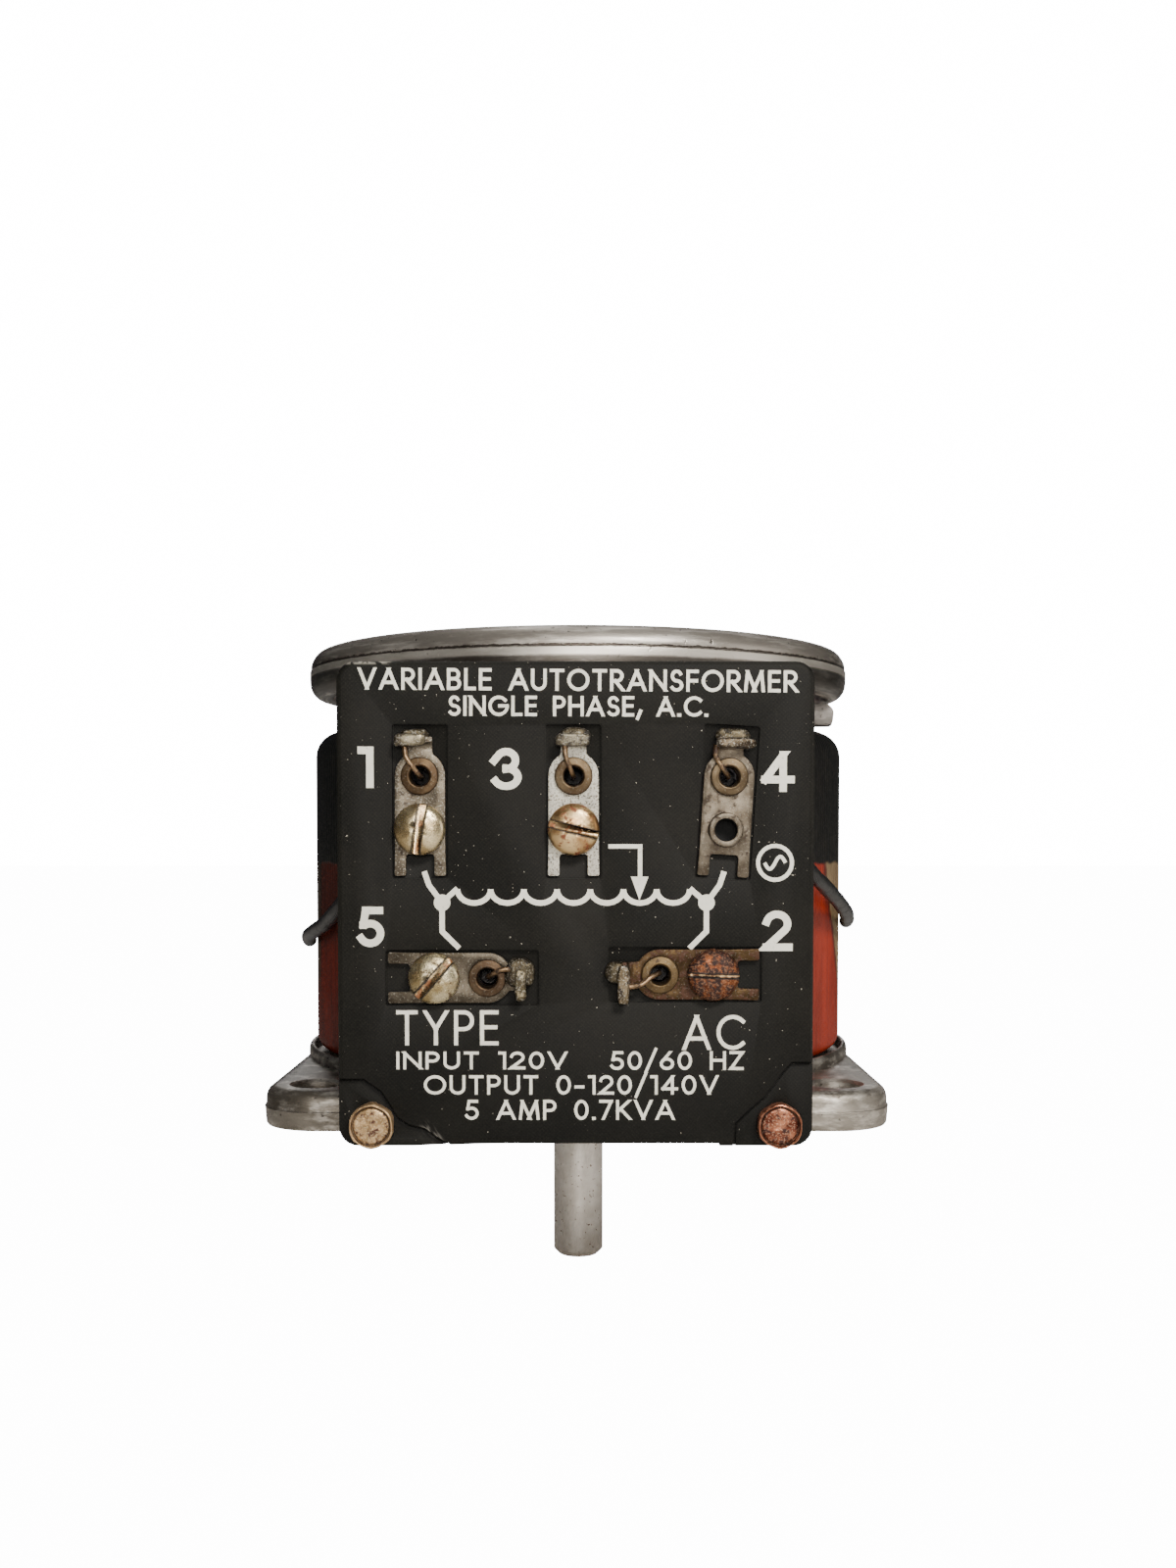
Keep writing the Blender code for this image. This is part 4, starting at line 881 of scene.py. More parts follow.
def stroke(points, width):
    """A line of points as a band of even width, its corners mitred."""
    knots = [Vector(p) for p in points]
    left, right = [], []
    for i, here in enumerate(knots):
        before = (here - knots[i - 1]).normalized() if i else None
        after = (knots[i + 1] - here).normalized() if i < len(knots) - 1 else None
        ahead = before or after
        normal = Vector((-ahead.y, ahead.x))
        if before and after:
            other = Vector((-after.y, after.x))
            normal = (normal + other).normalized()
            normal = normal / max(normal.dot(other), 0.45)
        left.append(here + normal * width / 2)
        right.append(here - normal * width / 2)
    return right + left[::-1]


def words(text, left, right, base, height, width, tilt=0.0):
    """The bands of a line of text that fills the space from left to right."""
    cap = height - width
    advances = [GLYPHS[c][0] if c != " " else SPACE for c in text]
    natural = cap * (sum(advances) + LETTER_GAP * (len(text) - 1)) + width
    squeeze = (right - left - width) / (natural - width)
    spin = Matrix.Rotation(math.radians(tilt), 2)
    pen = 0.0
    bands = []
    for letter, advance in zip(text, advances):
        for points in GLYPHS.get(letter, (0,))[1:]:
            placed = [((pen + x * cap) * squeeze + width / 2, y * cap + width / 2) for x, y in points]
            for line in split(placed):
                band = stroke(lengthen(line, width / 2, height - width / 2, width), width)
                band = clip(band, *((0, height) if letter not in "/," else (-height, 2 * height)))
                bands.append([Vector((left, base)) + spin @ p for p in band])
        pen += cap * (advance + LETTER_GAP)
    return bands


def printed(name, bands, lift=0.05):
    """Ink on the board: the bands merged into one flat shape and given a little thickness."""
    points = [p for band in bands for p in band]
    outlines = []
    start = 0
    for band in bands:
        outlines.append(list(range(start, start + len(band))))
        start += len(band)
    flat, _, faces, _, _, sources = delaunay_2d_cdt(points, [], outlines, 1, 1e-4)
    faces = [f for f, source in zip(faces, sources) if source]
    count = len(flat)
    sides = {(f[i], f[(i + 1) % len(f)]) for f in faces for i in range(len(f))}
    skin = [tuple(f) for f in faces] + [tuple(i + count for i in reversed(f)) for f in faces]
    skin += [(b, a, a + count, b + count) for a, b in sorted(sides) if (b, a) not in sides]
    solid = [(x, y, -BOARD_FRONT + lift) for x, y in flat] + [(x, y, -BOARD_FRONT - 0.03) for x, y in flat]
    return make(name, solid, skin, INK, STAND)


def printing():
    """Generic wording: what the thing is, its ratings and its terminal numbers."""
    title = words("VARIABLE AUTOTRANSFORMER", -33.1, 33.8, 70.15, 3.35, 0.52, -0.4)
    title += words("SINGLE PHASE, A.C.", -19.4, 20.2, 66.15, 3.1, 0.5, -0.2)
    ratings = words("TYPE", -27.5, -11.8, 15.8, 5.4, 0.62)
    ratings += words("AC", 16.4, 25.9, 15.1, 5.4, 0.62)
    ratings += words("INPUT 120V", -27.5, -1.3, 12.1, 2.75, 0.46)
    ratings += words("50/60 HZ", 5.3, 25.8, 12.0, 2.9, 0.46)
    ratings += words("OUTPUT 0-120/140V", -23.3, 21.9, 8.2, 3.0, 0.46)
    ratings += words("5 AMP 0.7KVA", -17.0, 15.2, 4.3, 3.1, 0.46)
    numbers = []
    for digit, left, right, base, height in (
        ("1", -33.2, -30.75, 55.2, 6.3), ("3", -12.7, -8.2, 54.9, 6.4), ("4", 28.3, 33.4, 54.6, 6.2),
        ("2", 28.6, 33.1, 30.3, 6.2), ("5", -33.4, -29.2, 30.9, 6.2),
    ):
        numbers += words(digit, left, right, base, height, 1.15)
    return [("print_title", title), ("print_ratings", ratings), ("print_numbers", numbers)]


def schematic():
    """The winding between its end terminals, its tap on terminal 3, and a sign for alternating current."""
    line = 0.84
    bands = []
    peaks = [-18.04 + 5.07 * n for n in range(8)]
    for a, b in zip(peaks, peaks[1:]):
        bands.append(stroke(arc((a + b) / 2, 39.75, (b - a) / 2, 180, 360, 14, 2.1), line))
    for side, x in ((-1, -20.4), (1, 20.0)):
        inner = peaks[0] if side < 0 else peaks[-1]
        bands.append(stroke([(inner, 39.9), (x, 37.7)], line))
        bands.append(stroke([(x + side * 2.7, 42.5), (x + side * 2.0, 40.4), (x, 37.7)], line))
        bands.append(stroke([(x, 37.7), (x, 33.3), (x - side * 2.6, 30.7)], line))
        bands.append(arc(x, 37.7, 1.28, 0, 342, 19))
    bands.append(stroke([(5.0, 46.3), (10.2, 46.3)], line * 0.8))
    bands.append(stroke([(9.85, 46.3), (9.85, 40.5)], line * 0.8))
    bands.append([(9.75, 38.1), (11.15, 41.7), (8.45, 41.7)])
    ring_middle = (30.45, 43.8)
    for start in (0, 180):
        bands.append(stroke(bow(*ring_middle, 2.6, 2.6, start, start + 188), 0.62))
    x, y = ring_middle
    wave = [(x + 1.6 * t / 10, y + 0.95 * math.sin(math.pi * t / 10)) for t in range(-10, 11)]
    bands.append(stroke(wave, 0.55))
    return "print_schematic", bands


# The pieces --------------------------------------------------------------------------------------


def board():
    back, front = -BOARD_BACK, -BOARD_FRONT
    body = slab("board", (-36.5, 0.1, 36.5, 74.5), 2.9, edge_rows(back, front, 0.3, 0.9), BOARD, STAND, 8)
    inside = slab("inside", (-34, 2.9, 34, 72), 1.2, [(0, 50), (0, 60.5)], BOARD, STAND)
    combine(body, [inside])
    steps = (
        [(45, 10.4), (32.6, 10.4, 0.8), (29.9, 8.5, 1), (28.4, 6.2, 1.5), (27.4, 4.5, 1), (25.8, 3.4, 1),
         (23.3, 2.8, 1), (21.2, 1.35, 1), (18.4, -0.4, 0.5), (18, -5)],
        [(45, 13), (33.2, 13, 0.4), (31.9, 11.5, 0.5), (29.2, 7.8, 1), (26.4, 5.3, 1), (24.6, 3.6, 0.6),
         (24.2, -5)],
    )
    bosses = []
    tools = []
    for (_, x), step in zip(BOARD_SCREWS, steps):
        side = math.copysign(1, x)
        foot = rectangle(x - 5.1, 1.4, x + 5.1, 9, 1.2)
        bosses.append(prism("boss", foot, back, front - 1.4, BOARD, STAND))
        outline = rounded([(side * p[0], *p[1:]) for p in ((45, -5), *step)], 0)
        tools.append(prism("step", outline, front - 1.0, front + 4, BOARD, STAND))
        line = [tuple(p) for p in stroke([(side * p[0], p[1]) for p in step], 0.5)]
        tools.append(prism("groove", line, front - 1.5, front + 4, BOARD, STAND))
        place = shift(x, 0, BOARD_SCREW_Z) @ STAND
        tools.append(rod("hole", BOARD_SCREW_HOLE, back - 2, front + 4, BOARD, 24, place))
    combine(body, bosses, "UNION")
    lifted = rounded([(-26, -3), (-26, 0.05), (-14, 0.65, 4), (22.2, 0.65, 0.3), (22.2, -3)], 0)
    tools.append(prism("bottom", lifted, back - 2, front + 2, BOARD, STAND))
    for name in TERMINALS:
        place = terminal_frame(name)
        pocket = rectangle(-4.25, -15.6, 4.25, 7.9, 0.35, 2)
        tools.append(prism("pocket", pocket, -0.3, 4, BOARD, place))
        tools.append(rod("hole", 2.5, -6, 4, BOARD, 24, place))
        depth = -6 if name in HEADS else -1.9
        tools.append(rod("hole", 2.0, depth, 4, BOARD, 24, place @ shift(0, -SCREW_BELOW)))
    combine(body, tools)
    show(soften(body, 0.14), "stator", "black_phenolic", "terminal_board")
    for name, bands in (*printing(), schematic()):
        show(printed(name, bands), "stator", "black_phenolic")


def terminal_frame(name):
    """A terminal's own axes: X across, Y towards the lug, Z out of the board."""
    x, z, degrees = TERMINALS[name]
    return shift(x, PLATE_BACK, z) @ Matrix.Rotation(math.radians(-degrees), 4, "Y") @ STAND


def terminals():
    shoulder = arc(0, 0, 3.85, 8, 58, 8)
    side = [(3.95, -15.2, 0.4), (3.85, -11.3, 0), (3.85, 0, 0), *shoulder, (1.95, 3.7, 0.2), (1.9, 4.4, 0)]
    fork = [(-2.15, -15.2, 0.4), (-2.15, -11.9, 0.5), (2.15, -11.9, 0.5), (2.15, -15.2, 0.4)]
    outline = rounded(side + [(-p[0], *p[1:]) for p in reversed(side)] + fork, 0)
    bend = [(3.4, 0.4), (4.1, 0.42), (4.7, 0.6), (5.15, 0.95), (5.4, 1.4), (5.5, 1.8), (5.5, 2.2)]
    rolled = rounded([(2.9, 0.9, 0.1), (2.9, 1.25, 0.15), (2.75, 1.42, 0.1), (2.0, 1.5, 0.1),
                      (1.8, 1.56, 0.1), (1.6, 1.45, 0.15), (1.45, 1.1, 0.2), (1.45, -3.2, 0.1),
                      (2.75, -3.2, 0.1), (2.75, -2.8, 0.1), (2.2, -2.8, 0), (2.2, 0.9, 0)], 0)
    for number, (name, (hump, hump_middle, bar, bar_middle)) in enumerate(LUGS.items()):
        place = terminal_frame(name)
        metal = PLATES[name]
        plate = prism("plate", outline, 0, 0.8, metal, place)
        if name not in HEADS:
            rim = rounded([(1.2, 0.2), (2.65, 0.2), (2.65, 1.3), (1.2, 1.3)], 0.25)
            combine(plate, [lathe("rim", rim, metal, 40, True, place @ shift(0, -SCREW_BELOW))], "UNION")
        combine(plate, [rod("hole", 2.5, -2, 3, metal, 32, place),
                        rod("thread", 1.75, -2, 3, metal, 32, place @ shift(0, -SCREW_BELOW))])
        show(soften(plate, 0.12), "stator", "tinned_brass", f"terminal_{name}")
        lug = ribbon("lug", bend, [1.9, 1.9, 2.0, 2.0], 0.75, metal, place)
        show(named(lug, f"lug_{name}"), "stator", "tinned_brass")
        roll = lump("roll", hump, hump_middle, LUG, place, number * 2.3, 0.25, 0.75)
        show(named(roll, f"lug_{name}_roll"), "stator", "tinned_brass")
        square = 0.4 if name in "13" else 0.55
        block = lump("block", bar, bar_middle, SOLDER[name], place, number * 3.1, 0.22, square)
        show(named(block, f"lug_{name}_solder"), "stator", "tinned_brass")
        eyelet = lathe("eyelet", rolled, EYELET[name], 48, True, place)
        show(eyelet, "stator", "tinned_brass", f"eyelet_{name}")
        route = [(0, 0, -3.4), (0, 0, -1), *WIRE_ROUTES[name]]
        path = smooth_path(route, 0.25)
        wire = sweep("wire", path, 0.38, WIRE, 14, place, lambda t: 1 + 1.5 * max(0, t - 0.8))
        show(roughen(wire, 0.5, 0.06, number), "stator", "tinned_brass", f"wire_end_{name}")
        if name in HEADS:
            terminal_screw(name, place @ shift(0, -SCREW_BELOW, 1.1))


def named(obj, name):
    obj.name = name
    return obj


def terminal_screw(name, place):
    """Slotted head, a little domed and battered, over a plain shank."""
    profile = [(1.45, -5.1), (1.45, 0), (3.75, 0), (3.95, 0.35), (3.9, 0.75), (3.66, 1.2), (3.2, 1.55),
               (2.5, 1.82), (1.6, 1.96), (0.7, 2.0), (0.1, 2.0)]
    head = lathe("head", profile, HEADS[name], 48, matrix=place)
    worn = name == "2"
    wide = SLOT_HALF[name]
    slot = prism("slot", rectangle(-5, -wide, 5, wide), 1.3 if worn else 0.95, 4, HEADS[name],
                 place @ turn_z(math.radians(SLOT_TURN[name])))
    combine(head, [slot])
    soften(head, 0.1)
    roughen(head, 0.9, 0.16 if worn else 0.05, 3)
    show(head, "stator", "screw_brass", f"terminal_screw_{name}")


def board_screws():
    """Indented hex heads with a thin raised rim, their corners nearly worn away."""
    rows = [(2.1, -14, 0), (2.1, 0, 0), (3.35, 0, 0.6), (3.48, 0.2, 0.6), (3.48, 1.9, 0.5), (3.44, 2.2, 0.4),
            (3.36, 2.4, 0.35), (3.24, 2.46, 0.3), (3.14, 2.38, 0.3), (3.06, 2.1, 0.2), (3.0, 1.8, 0.2),
            (2.86, 1.78, 0.2), (2.7, 1.94, 0.1), (2.45, 2.02, 0), (2.1, 2.02, 0), (1.75, 2.0, 0),
            (1.4, 2.02, 0), (1.05, 2.0, 0), (0.7, 2.02, 0), (0.35, 2.0, 0), (0.1, 2.0, 0)]
    for name, x in BOARD_SCREWS:
        loops = []
        for radius, z, hexagonal in rows:
            loop = []
            for k in range(72):
                a = TURN * k / 72
                flat = 0.93 / math.cos((a + math.pi / 6) % (math.pi / 3) - math.pi / 6)
                size = radius * (1 - hexagonal * (1 - min(1, flat)))
                loop.append((size * math.cos(a), size * math.sin(a), z))
            loops.append(loop)
        screw = loft("screw", loops, HEX[name], matrix=shift(x, BOARD_FRONT + 0.8, BOARD_SCREW_Z) @ STAND)
        roughen(screw, 0.6, 0.07, 5 if x < 0 else 9)
        show(screw, "stator", "rusted_steel", f"board_screw_{name}")


def coil():
    """One ridge for each turn of wire. The coating fills the grooves and the brush track is ground flat."""
    turns = 280
    per_turn = 4
    start, end = math.radians(-76), math.radians(256)
    section = arc(45.5, 62.4, 4.5, 0, 90, 6) + arc(22.5, 62.4, 3.5, 90, 180, 5)
    section += arc(21.5, 10.4, 2.5, 180, 270, 4) + arc(47.6, 10.3, 2.4, 270, 360, 4)
    profile = []
    for a, b in zip(section, section[1:] + section[:1]):
        profile.append(a)
        if abs(a[0] - b[0]) > 5 and a[1] > 60:
            profile += [(r, TRACK_Z) for r in (45.3, 44.9, 38.0, 31.5, 30.9)]
        if abs(a[1] - b[1]) > 5 and a[0] > 40:
            profile += [(50, z) for z in (20, 32, COAT_EDGE - 0.4, COAT_EDGE + 0.4, 52)]
    count = len(profile)
    normals = []
    for i in range(count):
        ahead = Vector(profile[(i + 1) % count]) - Vector(profile[i - 1])
        normals.append(Vector((ahead.y, -ahead.x)).normalized())
    depths = []
    for r, z in profile:
        track = z > 66.5 and 31 < r < 45.2
        depths.append(0.03 if track else 0.11 if z > COAT_EDGE and r > 40 else 0.3)
    ridge = [0.0, 0.34, 1.0, 0.34]
    loops = []
    for i in range(turns * per_turn + 1):
        angle = start + (end - start) * i / (turns * per_turn)
        waver = 0.06 * noise.noise((i * 0.11, 0, 0))
        loop = []
        for (r, z), normal, depth in zip(profile, normals, depths):
            drop = depth * ridge[i % per_turn] + max(0.0, waver) * (depth > 0.2)
            radius = r - normal.x * drop
            loop.append((radius * math.cos(angle), radius * math.sin(angle), z - normal.y * drop))
        loops.append(loop)
    # The way back runs inside the wire, just outside the core's caps
    inner, outer, bottom, top = 20.2, 48.8, 9.1, 65.7
    back_steps = 59
    for i in range(back_steps + 1):
        angle = end + (start - end) * i / back_steps
        loop = []
        for r, z in profile:
            r = min(max(r, inner), outer)
            loop.append((r * math.cos(angle), r * math.sin(angle), min(max(z, bottom), top)))
        loops.append(loop)
    show(loft("coil", loops, ENAMEL, closed=True), "stator", "enamelled_wire", "winding")


def base():
    rows = [(1.0, 0), (0.5, 0.12), (0.25, 0.45), (0.16, 1.5), (0.06, 2.95), (0, 3.1), (0.02, 3.18),
            (0.24, 3.3), (0.28, 4.6), (0.42, 5.3), (0.78, 5.95), (1.35, 6.38), (2.1, 6.5)]
    body = slab("base", (-52, -52, 52, 52), 9.5, rows, CASTING, steps=12)
    lip = rounded([(50.4, 5), (51.6, 5), (51.6, 8.1, 0.8), (51.0, 8.7, 0.6), (50.4, 8.4, 0.4)], 0.1)
    tower = rounded([(6.5, 5.5), (13.2, 5.5), (12.4, 6.9, 1.4), (10.3, 9.2, 1.6), (10, 60, 0.4),
                     (6.5, 60, 0)], 0.2)
    combine(body, [lathe("lip", lip, CASTING, 160, True), lathe("tower", tower, CASTING, 64, True)], "UNION")
    tools = [rod("bore", 7.3, -1, 61, segments=64), rod("counterbore", 9, -1, 4, segments=64)]
    bolt = 43.2  # from the axis to each panel bolt, in X and in Y
    flare = [(5.2, -0.6), (4.2, 0.4), (4.2, 6.0), (5.3, 7.1)]
    for x in (-bolt, bolt):
        for y in (-bolt, bolt):
            tools.append(lathe("corner_hole", flare, CASTING, 40, matrix=shift(x, y)))
    for i in range(6):
        middle = 60 * i
        sector = arc(0, 0, 43, middle - 26, middle + 26, 16) + arc(0, 0, 19, middle + 22, middle - 22, 8)
        tools.append(prism("recess", sector, -1, 3))
    for place in CLAMP_SCREWS:
        tools.append(rod("clamp_hole", CLAMP_HOLE, 2.5, 12, matrix=place))
    for _, x in BOARD_SCREWS:
        place = shift(x, 0, BOARD_SCREW_Z) @ STAND
        tools.append(rod("board_hole", BOARD_SCREW_HOLE, 40, 54, matrix=place))
    combine(body, tools)
    show(soften(body, 0.35, 2, 45), "stator", "cast_aluminium", "base_casting")


def turned_pieces():
    """Rings, washers and posts that are plain turned shapes, each with its edges broken."""
    rings = (
        ("lower_bushing", "stator", "bronze", BRONZE, 4.8625, 7, 4, 14),
        ("upper_bushing", "stator", "bronze", BRONZE, 4.8625, 7, 46, 59.7),
        ("insulating_washer", "stator", "fibre", PAPER, 18, 48, 6.8, 7.6),
        ("lower_thrust_washer", "rotor", "bronze", BRONZE, BORE, 8.2, 2.7, 3.7),
        ("upper_thrust_washer", "rotor", "bronze", BRONZE, BORE, 8.5, 60.3, 61),
        ("collector_insulator", "rotor", "fibre", PAPER, 8.8, 17.6, 73.3, 75.2),
        ("collector_ring", "rotor", "contact_brass", BRASS, 9.4, 17.2, 71.5, 73),
    )
    for node, body, slot, material, inner, outer, low, high in rings:
        show(ring(node, inner, outer, low, high, material, 96), body, slot, node)
    wave = ring("wave", BORE, 7.5, 61.6, 62.0, STEEL, 96, 0.08)
    for vertex in wave.data.vertices:
        vertex.co.z += 0.28 * MM * math.sin(3 * math.atan2(vertex.co.y, vertex.co.x))
    show(wave, "rotor", "steel", "spring_washer")
    outer, inner, bottom, top = 48.5, 20.5, 9.4, 65.4
    for node, profile in (
        ("core_cap_lower", [(outer, 35.85), (outer, 12.7), (45.2, bottom), (23.8, bottom), (inner, 12.7),
                            (inner, 35.85), (22, 35.85), (22, 13.45), (47, 13.45), (47, 35.85)]),
        ("core_cap_upper", [(45.2, top), (outer, 62.1), (outer, 36.15), (47, 36.15), (47, 61.35),
                            (22, 61.35), (22, 36.15), (inner, 36.15), (inner, 62.1), (23.8, top)]),
    ):
        show(lathe(node, rounded(profile, 0.4), CAP, 120, True), "stator", "black_phenolic", node)
    show(ring("core", 22.3, 46.7, 13.75, 61.05, CORE, 96, 0.2), "stator", "steel", "core")
    post = [(1.4, 67.2), (1.4, 69.1), (2.5, 69.1), (2.5, 73.4), (2.1, 73.9), (1.2, 74), (0.1, 74)]
    show(lathe("post", post, STEEL, 40, matrix=shift(0, POST_Y)), "stator", "steel", "stop_post")


def slotted(profile, half, floor, place, angle):
    """A turned steel screw with a slot across its head, down to floor."""
    screw = lathe("screw", profile, STEEL, 40, matrix=place)
    slot = prism("slot", rectangle(-4, -half, 4, half), floor, floor + 2.5, STEEL, place @ turn_z(angle))
    return soften(combine(screw, [slot]), 0.1)


def clamp():
    plate = ring("plate", 11.5, 26, 67.2, 68.8, FIBRE, 96)
    head = [(1.6, 3), (1.6, 69.1), (3.0, 69.1), (3.0, 70.1), (2.7, 70.7), (2.0, 70.95), (0.1, 71.0)]
    holes = [rod("hole", CLAMP_HOLE, 60, 75, FIBRE, 24, shift(0, POST_Y))]
    for i, place in enumerate(CLAMP_SCREWS):
        holes.append(rod("hole", CLAMP_HOLE, 60, 75, FIBRE, 24, place))
        screw = slotted(head, 0.42, 70.1, place, 0.7 * i + 0.4)
        show(screw, "stator", "steel", f"clamp_screw_{i + 1}")
    show(soften(combine(plate, holes), 0.12), "stator", "fibre", "coil_clamp_plate")


def shaft():
    outer, groove = SHAFT_RADIUS, 4.2
    profile = [(0.1, -33.1), (0.8, -33.5), (1.1, -34), (3.76, -34), (outer, -33), (outer, 1.3), (groove, 1.3),
               (groove, 2.7), (outer, 2.7), (outer, 85.5), (4.26, 86), (1.1, 86), (0.8, 85.5), (0.1, 85.1)]
    show(lathe("shaft", rounded(profile, 0.12, 2, False), SHAFT, 96), "rotor", "steel", "shaft")
    clip = arc(0, 0, 8, 32, 328, 60) + [(6.4, -3.2), (5.2, -2.3)]
    clip += arc(0, 0, 4.5, 322, 38, 50) + [(5.2, 2.3), (6.4, 3.2)]
    show(soften(prism("clip", clip, 1.6, 2.4, STEEL), 0.1), "rotor", "steel", "retaining_ring")


def radiator():
    profile = rounded(
        [(46.6, 82.1, 0.4), (48.2, 82.0, 0.8), (49.8, 81.4, 1.2), (50.8, 79.6, 0.8), (50.8, 78.65, 0),
         (50.6, 78.55, 0), (50.6, 78.4, 0), (51.0, 78.25, 0.1), (51.0, 76.0, 0.8), (50.7, 74.6, 1.0),
         (49.6, 73.4, 0.9), (47.4, 73.0, 0.5), (46.4, 73.4, 0.5), (45.4, 75.5, 1.2), (8.5, 75.5, 0.4),
         (8.5, 62.6, 0.3), (BORE, 62.6, 0.3), (BORE, 86.8, 0.3), (8.4, 86.8, 0.6), (9.1, 78, 1.4),
         (44.7, 78, 1.4), (45.6, 81.6, 0.5)], 0)
    disc = lathe("disc", profile, RADIATOR, 192, True)
    joined = [prism("boss", rectangle(20, -6.2, 25.4, 6.2, 1.0), 70.2, 76.5, RADIATOR, BRUSH_SIDE)]
    step = TURN / SLOTS
    rows = [(-0.35, 77), (0, 78), (0.1, 79.9), (0.4, 80.5), (0.7, 80.6)]
    for i in range(1, SLOTS):
        place = turn_z(BRUSH_ANGLE + step * i)
        joined.append(slab("rib", (8, -1.1, 45.4, 1.1), 0.3, rows, RADIATOR, place, 2))
    combine(disc, joined, "UNION")
    tools = []
    slot = arc(38.5, 0, 3.6, -90, 90, 16) + arc(22.5, 0, 3.6, 90, 270, 16)
    for i in range(SLOTS):
        tools.append(prism("slot", slot, 68, 82, RADIATOR, turn_z(BRUSH_ANGLE + step * (i + 0.5))))
    tools.append(rod("hole", BRUSH_SCREW_HOLE, 66, 86, RADIATOR, 24, BRUSH_SCREW))
    for i in range(2):
        tools.append(rod("hole", 2.3, 3, 12, RADIATOR, 32, socket_axis(i)))
    combine(disc, tools)
    show(soften(disc, 0.28, 2, 40), "rotor", "cast_aluminium", "radiator")
    profile = rounded([(0.1, 5.1), (1.4, 5.1), (2, 5.7), (2, 8.0), (1.8, 8.2), (0.1, 8.2)], 0.1, 2, False)
    hexagon = arc(0, 0, 1.1, 0, 300, 5)
    for i in range(2):
        place = socket_axis(i)
        grub = lathe("grub", profile, STEEL, 40, matrix=place)
        combine(grub, [prism("socket", hexagon, 6.6, 9, STEEL, place)])
        show(grub, "rotor", "steel", f"hub_set_screw_{i + 1}")


def socket_axis(i):
    """The axis of hub set screw i, with Z outwards."""
    return turn_z(BRUSH_ANGLE + math.pi / 2 * i) @ shift(0, 0, 83.4) @ Matrix.Rotation(math.pi / 2, 4, "Y")


def brush_gear():
    side = rounded([(27, 75.2, 0.4), (27, 70, 1.2), (30, 68.4, 1.5), (48.6, 68.4, 0.9), (48.9, 71.2, 0.8),
                    (47.4, 72.6, 0.6), (44.9, 72.6, 0.3), (44.9, 75.2, 0.4)], 0)
    holder = prism("holder", side, -3.2, 3.2, HOLDER, BRUSH_SIDE @ STAND)
    combine(holder, [prism("slot", rectangle(32.1, -1.7, 44.2, 1.7, 0.3), 60, 90, HOLDER, BRUSH_SIDE),
                     rod("hole", BRUSH_SCREW_HOLE, 60, 90, HOLDER, 24, BRUSH_SCREW)])
    show(soften(holder, 0.3), "rotor", "cast_aluminium", "brush_holder")
    head = [(1.4, 69), (1.4, 78.3), (2.7, 78.3), (2.7, 79.4), (2.4, 80.0), (1.8, 80.25), (0.1, 80.3)]
    screw = slotted(head, 0.4, 79.5, BRUSH_SCREW, 0.5)
    show(screw, "rotor", "steel", "brush_holder_screw")
    arch = [(0, 33.4, 73.05), (0, 35.4, 73.5), (0, 38.15, 74.6), (0, 40.9, 73.5), (0, 42.9, 73.05)]
    path = [(p.y, p.z) for p in smooth_path(arch, 0.4)]
    spring = ribbon("spring", path, [1.3, 1.3], 0.28, STEEL, turn_z(BRUSH_ANGLE - math.pi / 2))
    show(spring, "rotor", "steel", "brush_spring")
    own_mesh(spring)
    rows = edge_rows(67.2, 72.6, 0.25, 0.2, 3)
    brush = slab("brush", (32.4, -1.4, 43.9, 1.4), 0.3, rows, CARBON, BRUSH_SIDE, 3)
    show(brush, "brush", "carbon", "carbon_brush")


def contact_strip():
    """Spring brass from behind the board, over the coil's bare stretch, to the collector ring."""
    route = [(-59.9, 60.0), (-59.9, 64), (-59.9, 67.8), (-59.5, 68.9), (-58.4, 69.2), (-50, 69.2),
             (-35, 69.2), (-18.5, 69.2), (-16.6, 69.4), (-13.9, 70.8), (-12.8, 70.95), (-11.2, 70.95)]
    strip = ribbon("strip", route, [2.5, 2.5, 2.5, 2.2], 0.55, BRASS, shift(5.7))
    show(strip, "stator", "contact_brass", "collector_contact")


def leads():
    rear = -59.1
    routes = {
        "1": [(-28, -53.6, 52.5), (-32.8, -50.3, 45), (-38.2, -45.5, 37.2), (-42.6, -36.5, 33.2),
              (-46, -28.2, 31.2), (-48.6, -20, 29.8), (-50, -13.6, 28.8), (-50.6, -9.2, 28)],
        "4": [(28, -53.6, 53), (32.8, -50.3, 47.5), (38.2, -45.5, 42.2), (42.6, -36.5, 38.8),
              (46, -28.2, 36.2), (48.6, -20, 34), (50, -13.6, 32.6), (50.6, -9.2, 31.6)],
        "5": [(-16, -54.5, 25), (-18.4, -51.5, 20), (-18.9, -48.6, 16.5)],
        "2": [(16, -54.5, 25), (18.4, -51.5, 20), (18.9, -48.6, 16.5)],
        "3": [(1.5, -56.8, 60), (5.7, -58.1, 63)],
    }
    for name, route in routes.items():
        x, z = TERMINALS[name][:2]
        path = smooth_path([(x, rear, z), (x, rear + 2.2, z - 0.5), *route], 0.8)
        lead = sweep("lead", path, 1.3, SLEEVE, 20)
        show(roughen(lead, 2.5, 0.12, 2), "stator", "sleeving", f"lead_{name}")


# Stage -------------------------------------------------------------------------------------------


def lamp(name, where, aim, size, power, color=(1, 1, 1)):
    """A square soft light; places are millimetres and power is watts."""
    light = bpy.data.lights.new(name, "AREA")
    light.shape = "RECTANGLE"
    light.size, light.size_y = (s * MM for s in size)
    light.energy = power
    light.color = color
    obj = bpy.data.objects.new(name, light)
    obj.location = Vector(where) * MM
    obj.rotation_euler = (Vector(aim) - Vector(where)).to_track_quat("-Z", "Y").to_euler()
    bpy.context.scene.collection.objects.link(obj)


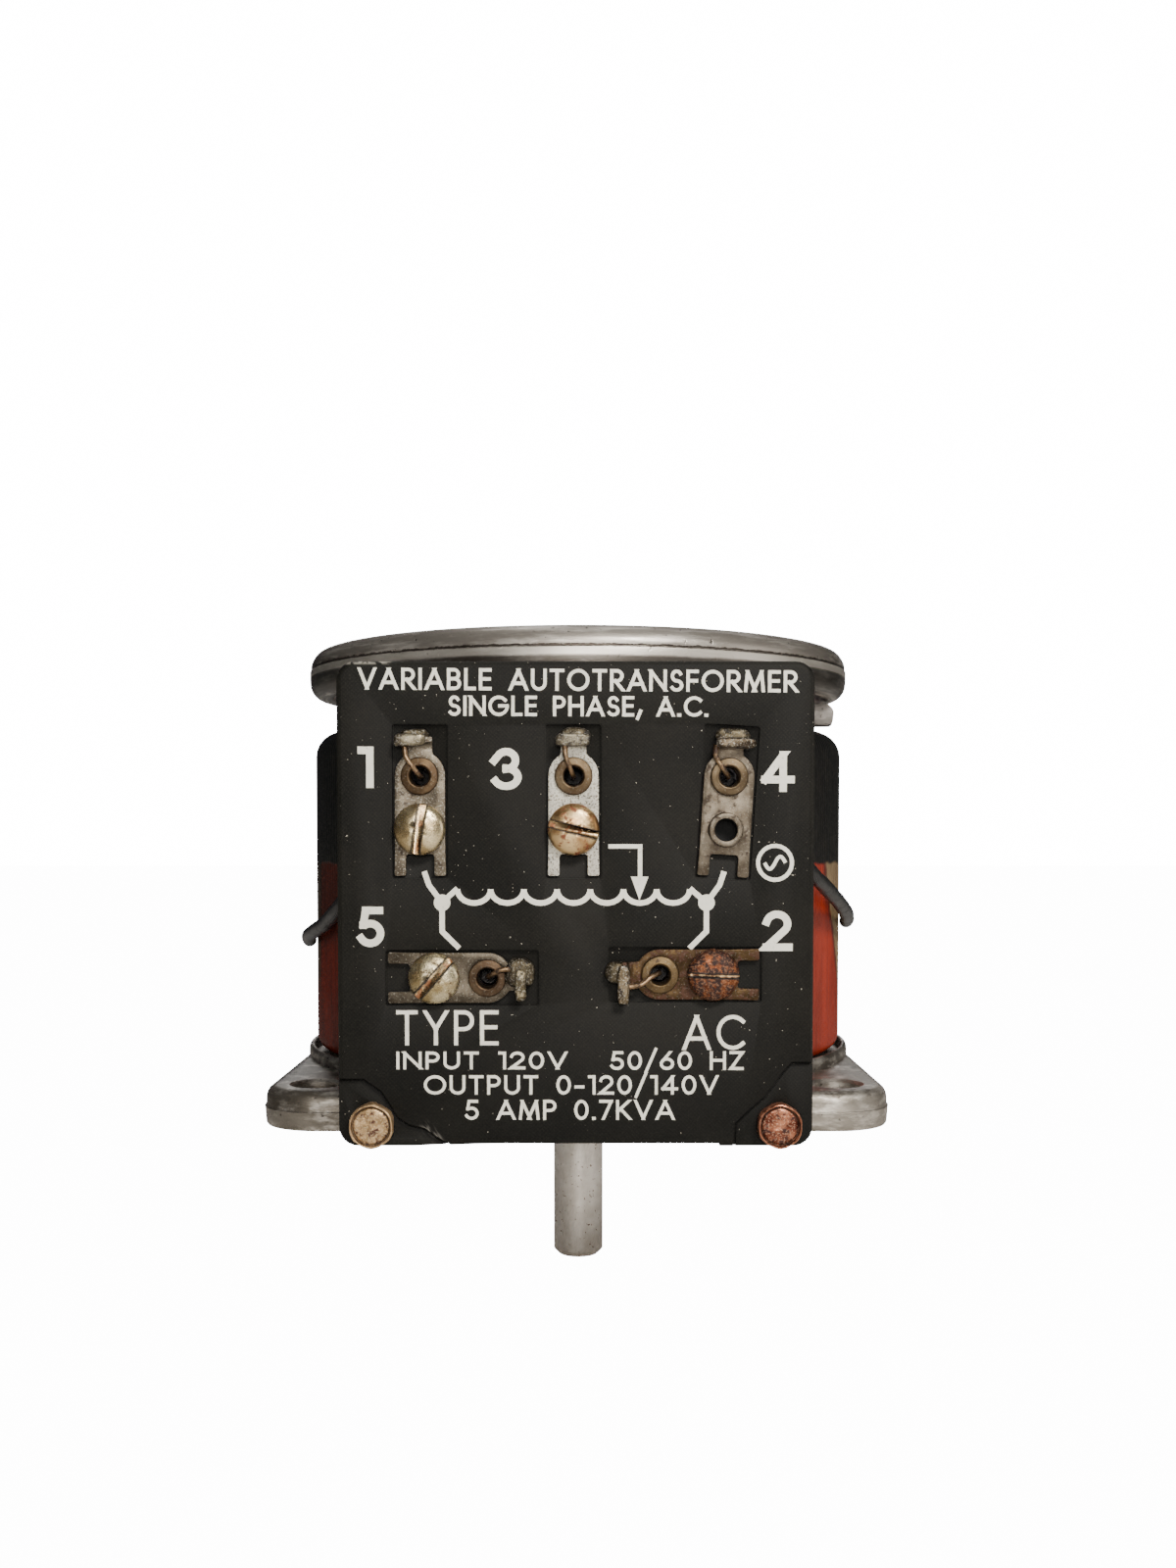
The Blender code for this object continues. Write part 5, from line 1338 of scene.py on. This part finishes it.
def backdrop_material(shade, seen):
    """Pale floor that the camera sees as bright paper from above, and not at all from below."""
    p = Paint("floor_paper", specular=0.1)
    p.finish(shade, 0.9)
    glow = p.nodes.new("ShaderNodeEmission")
    glow.inputs["Strength"].default_value = seen
    path = p.nodes.new("ShaderNodeLightPath")
    mixer = p.nodes.new("ShaderNodeMixShader")
    p.put(mixer.inputs[0], Value(p, path.outputs["Is Camera Ray"]) * 0.9)
    p.links.new(p.shader.outputs[0], mixer.inputs[1])
    p.links.new(glow.outputs[0], mixer.inputs[2])
    clear = p.nodes.new("ShaderNodeBsdfTransparent")
    sides = p.nodes.new("ShaderNodeMixShader")
    p.links.new(p.nodes.new("ShaderNodeNewGeometry").outputs["Backfacing"], sides.inputs[0])
    p.links.new(mixer.outputs[0], sides.inputs[1])
    p.links.new(clear.outputs[0], sides.inputs[2])
    p.links.new(sides.outputs[0], p.nodes["Material Output"].inputs["Surface"])
    return p.material


def stage():
    half = 3000
    corners = [(-half, -half, 0), (half, -half, 0), (half, half, 0), (-half, half, 0)]
    paper = backdrop_material((0.78, 0.76, 0.73), 16)
    floor = make("floor", corners, [(0, 1, 2, 3)], paper, shift(0, 0, -34.2))
    world = bpy.data.worlds.new("studio")
    bpy.context.scene.world = world
    world.use_nodes = True
    nodes, links = world.node_tree.nodes, world.node_tree.links
    seen = nodes.new("ShaderNodeBackground")
    seen.inputs["Strength"].default_value = 16
    seen.inputs["Color"].default_value = (1, 1, 1, 1)
    lit = nodes["Background"]
    lit.inputs["Color"].default_value = (0.9, 0.95, 1, 1)
    lit.inputs["Strength"].default_value = 0.05
    mixer = nodes.new("ShaderNodeMixShader")
    path = nodes.new("ShaderNodeLightPath")
    links.new(path.outputs["Is Camera Ray"], mixer.inputs[0])
    links.new(lit.outputs[0], mixer.inputs[1])
    links.new(seen.outputs[0], mixer.inputs[2])
    links.new(mixer.outputs[0], nodes["World Output"].inputs["Surface"])
    lamp("key", (150, -420, 320), (0, 0, 45), (110, 80), 2.7, (1, 0.955, 0.89))
    lamp("front", (20, -520, 130), (0, 0, 45), (150, 80), 1.25, (1, 0.96, 0.9))
    lamp("side", (430, -160, 120), (0, 0, 35), (160, 220), 0.3, (1, 0.955, 0.9))
    lamp("top", (0, 60, 480), (0, 0, 60), (300, 300), 0.35, (1, 0.98, 0.95))
    lamp("back", (0, 520, 240), (0, 0, 40), (420, 200), 0.7)


def camera():
    """Eye and aim of the photograph: close, level with the board's upper half, a little down."""
    data = bpy.data.cameras.new("camera")
    data.sensor_width = 36
    data.lens = 34.97
    data.shift_y = 0.065
    data.clip_start = 0.01
    obj = bpy.data.objects.new("camera", data)
    obj.location = Vector((1.9, -296, 49.2)) * MM
    obj.rotation_euler = (math.radians(90 - 2.2), 0, 0)
    bpy.context.scene.collection.objects.link(obj)
    bpy.context.scene.camera = obj


camera()
stage()
base()
turned_pieces()
clamp()
coil()
board()
terminals()
board_screws()
contact_strip()
leads()
shaft()
radiator()
brush_gear()
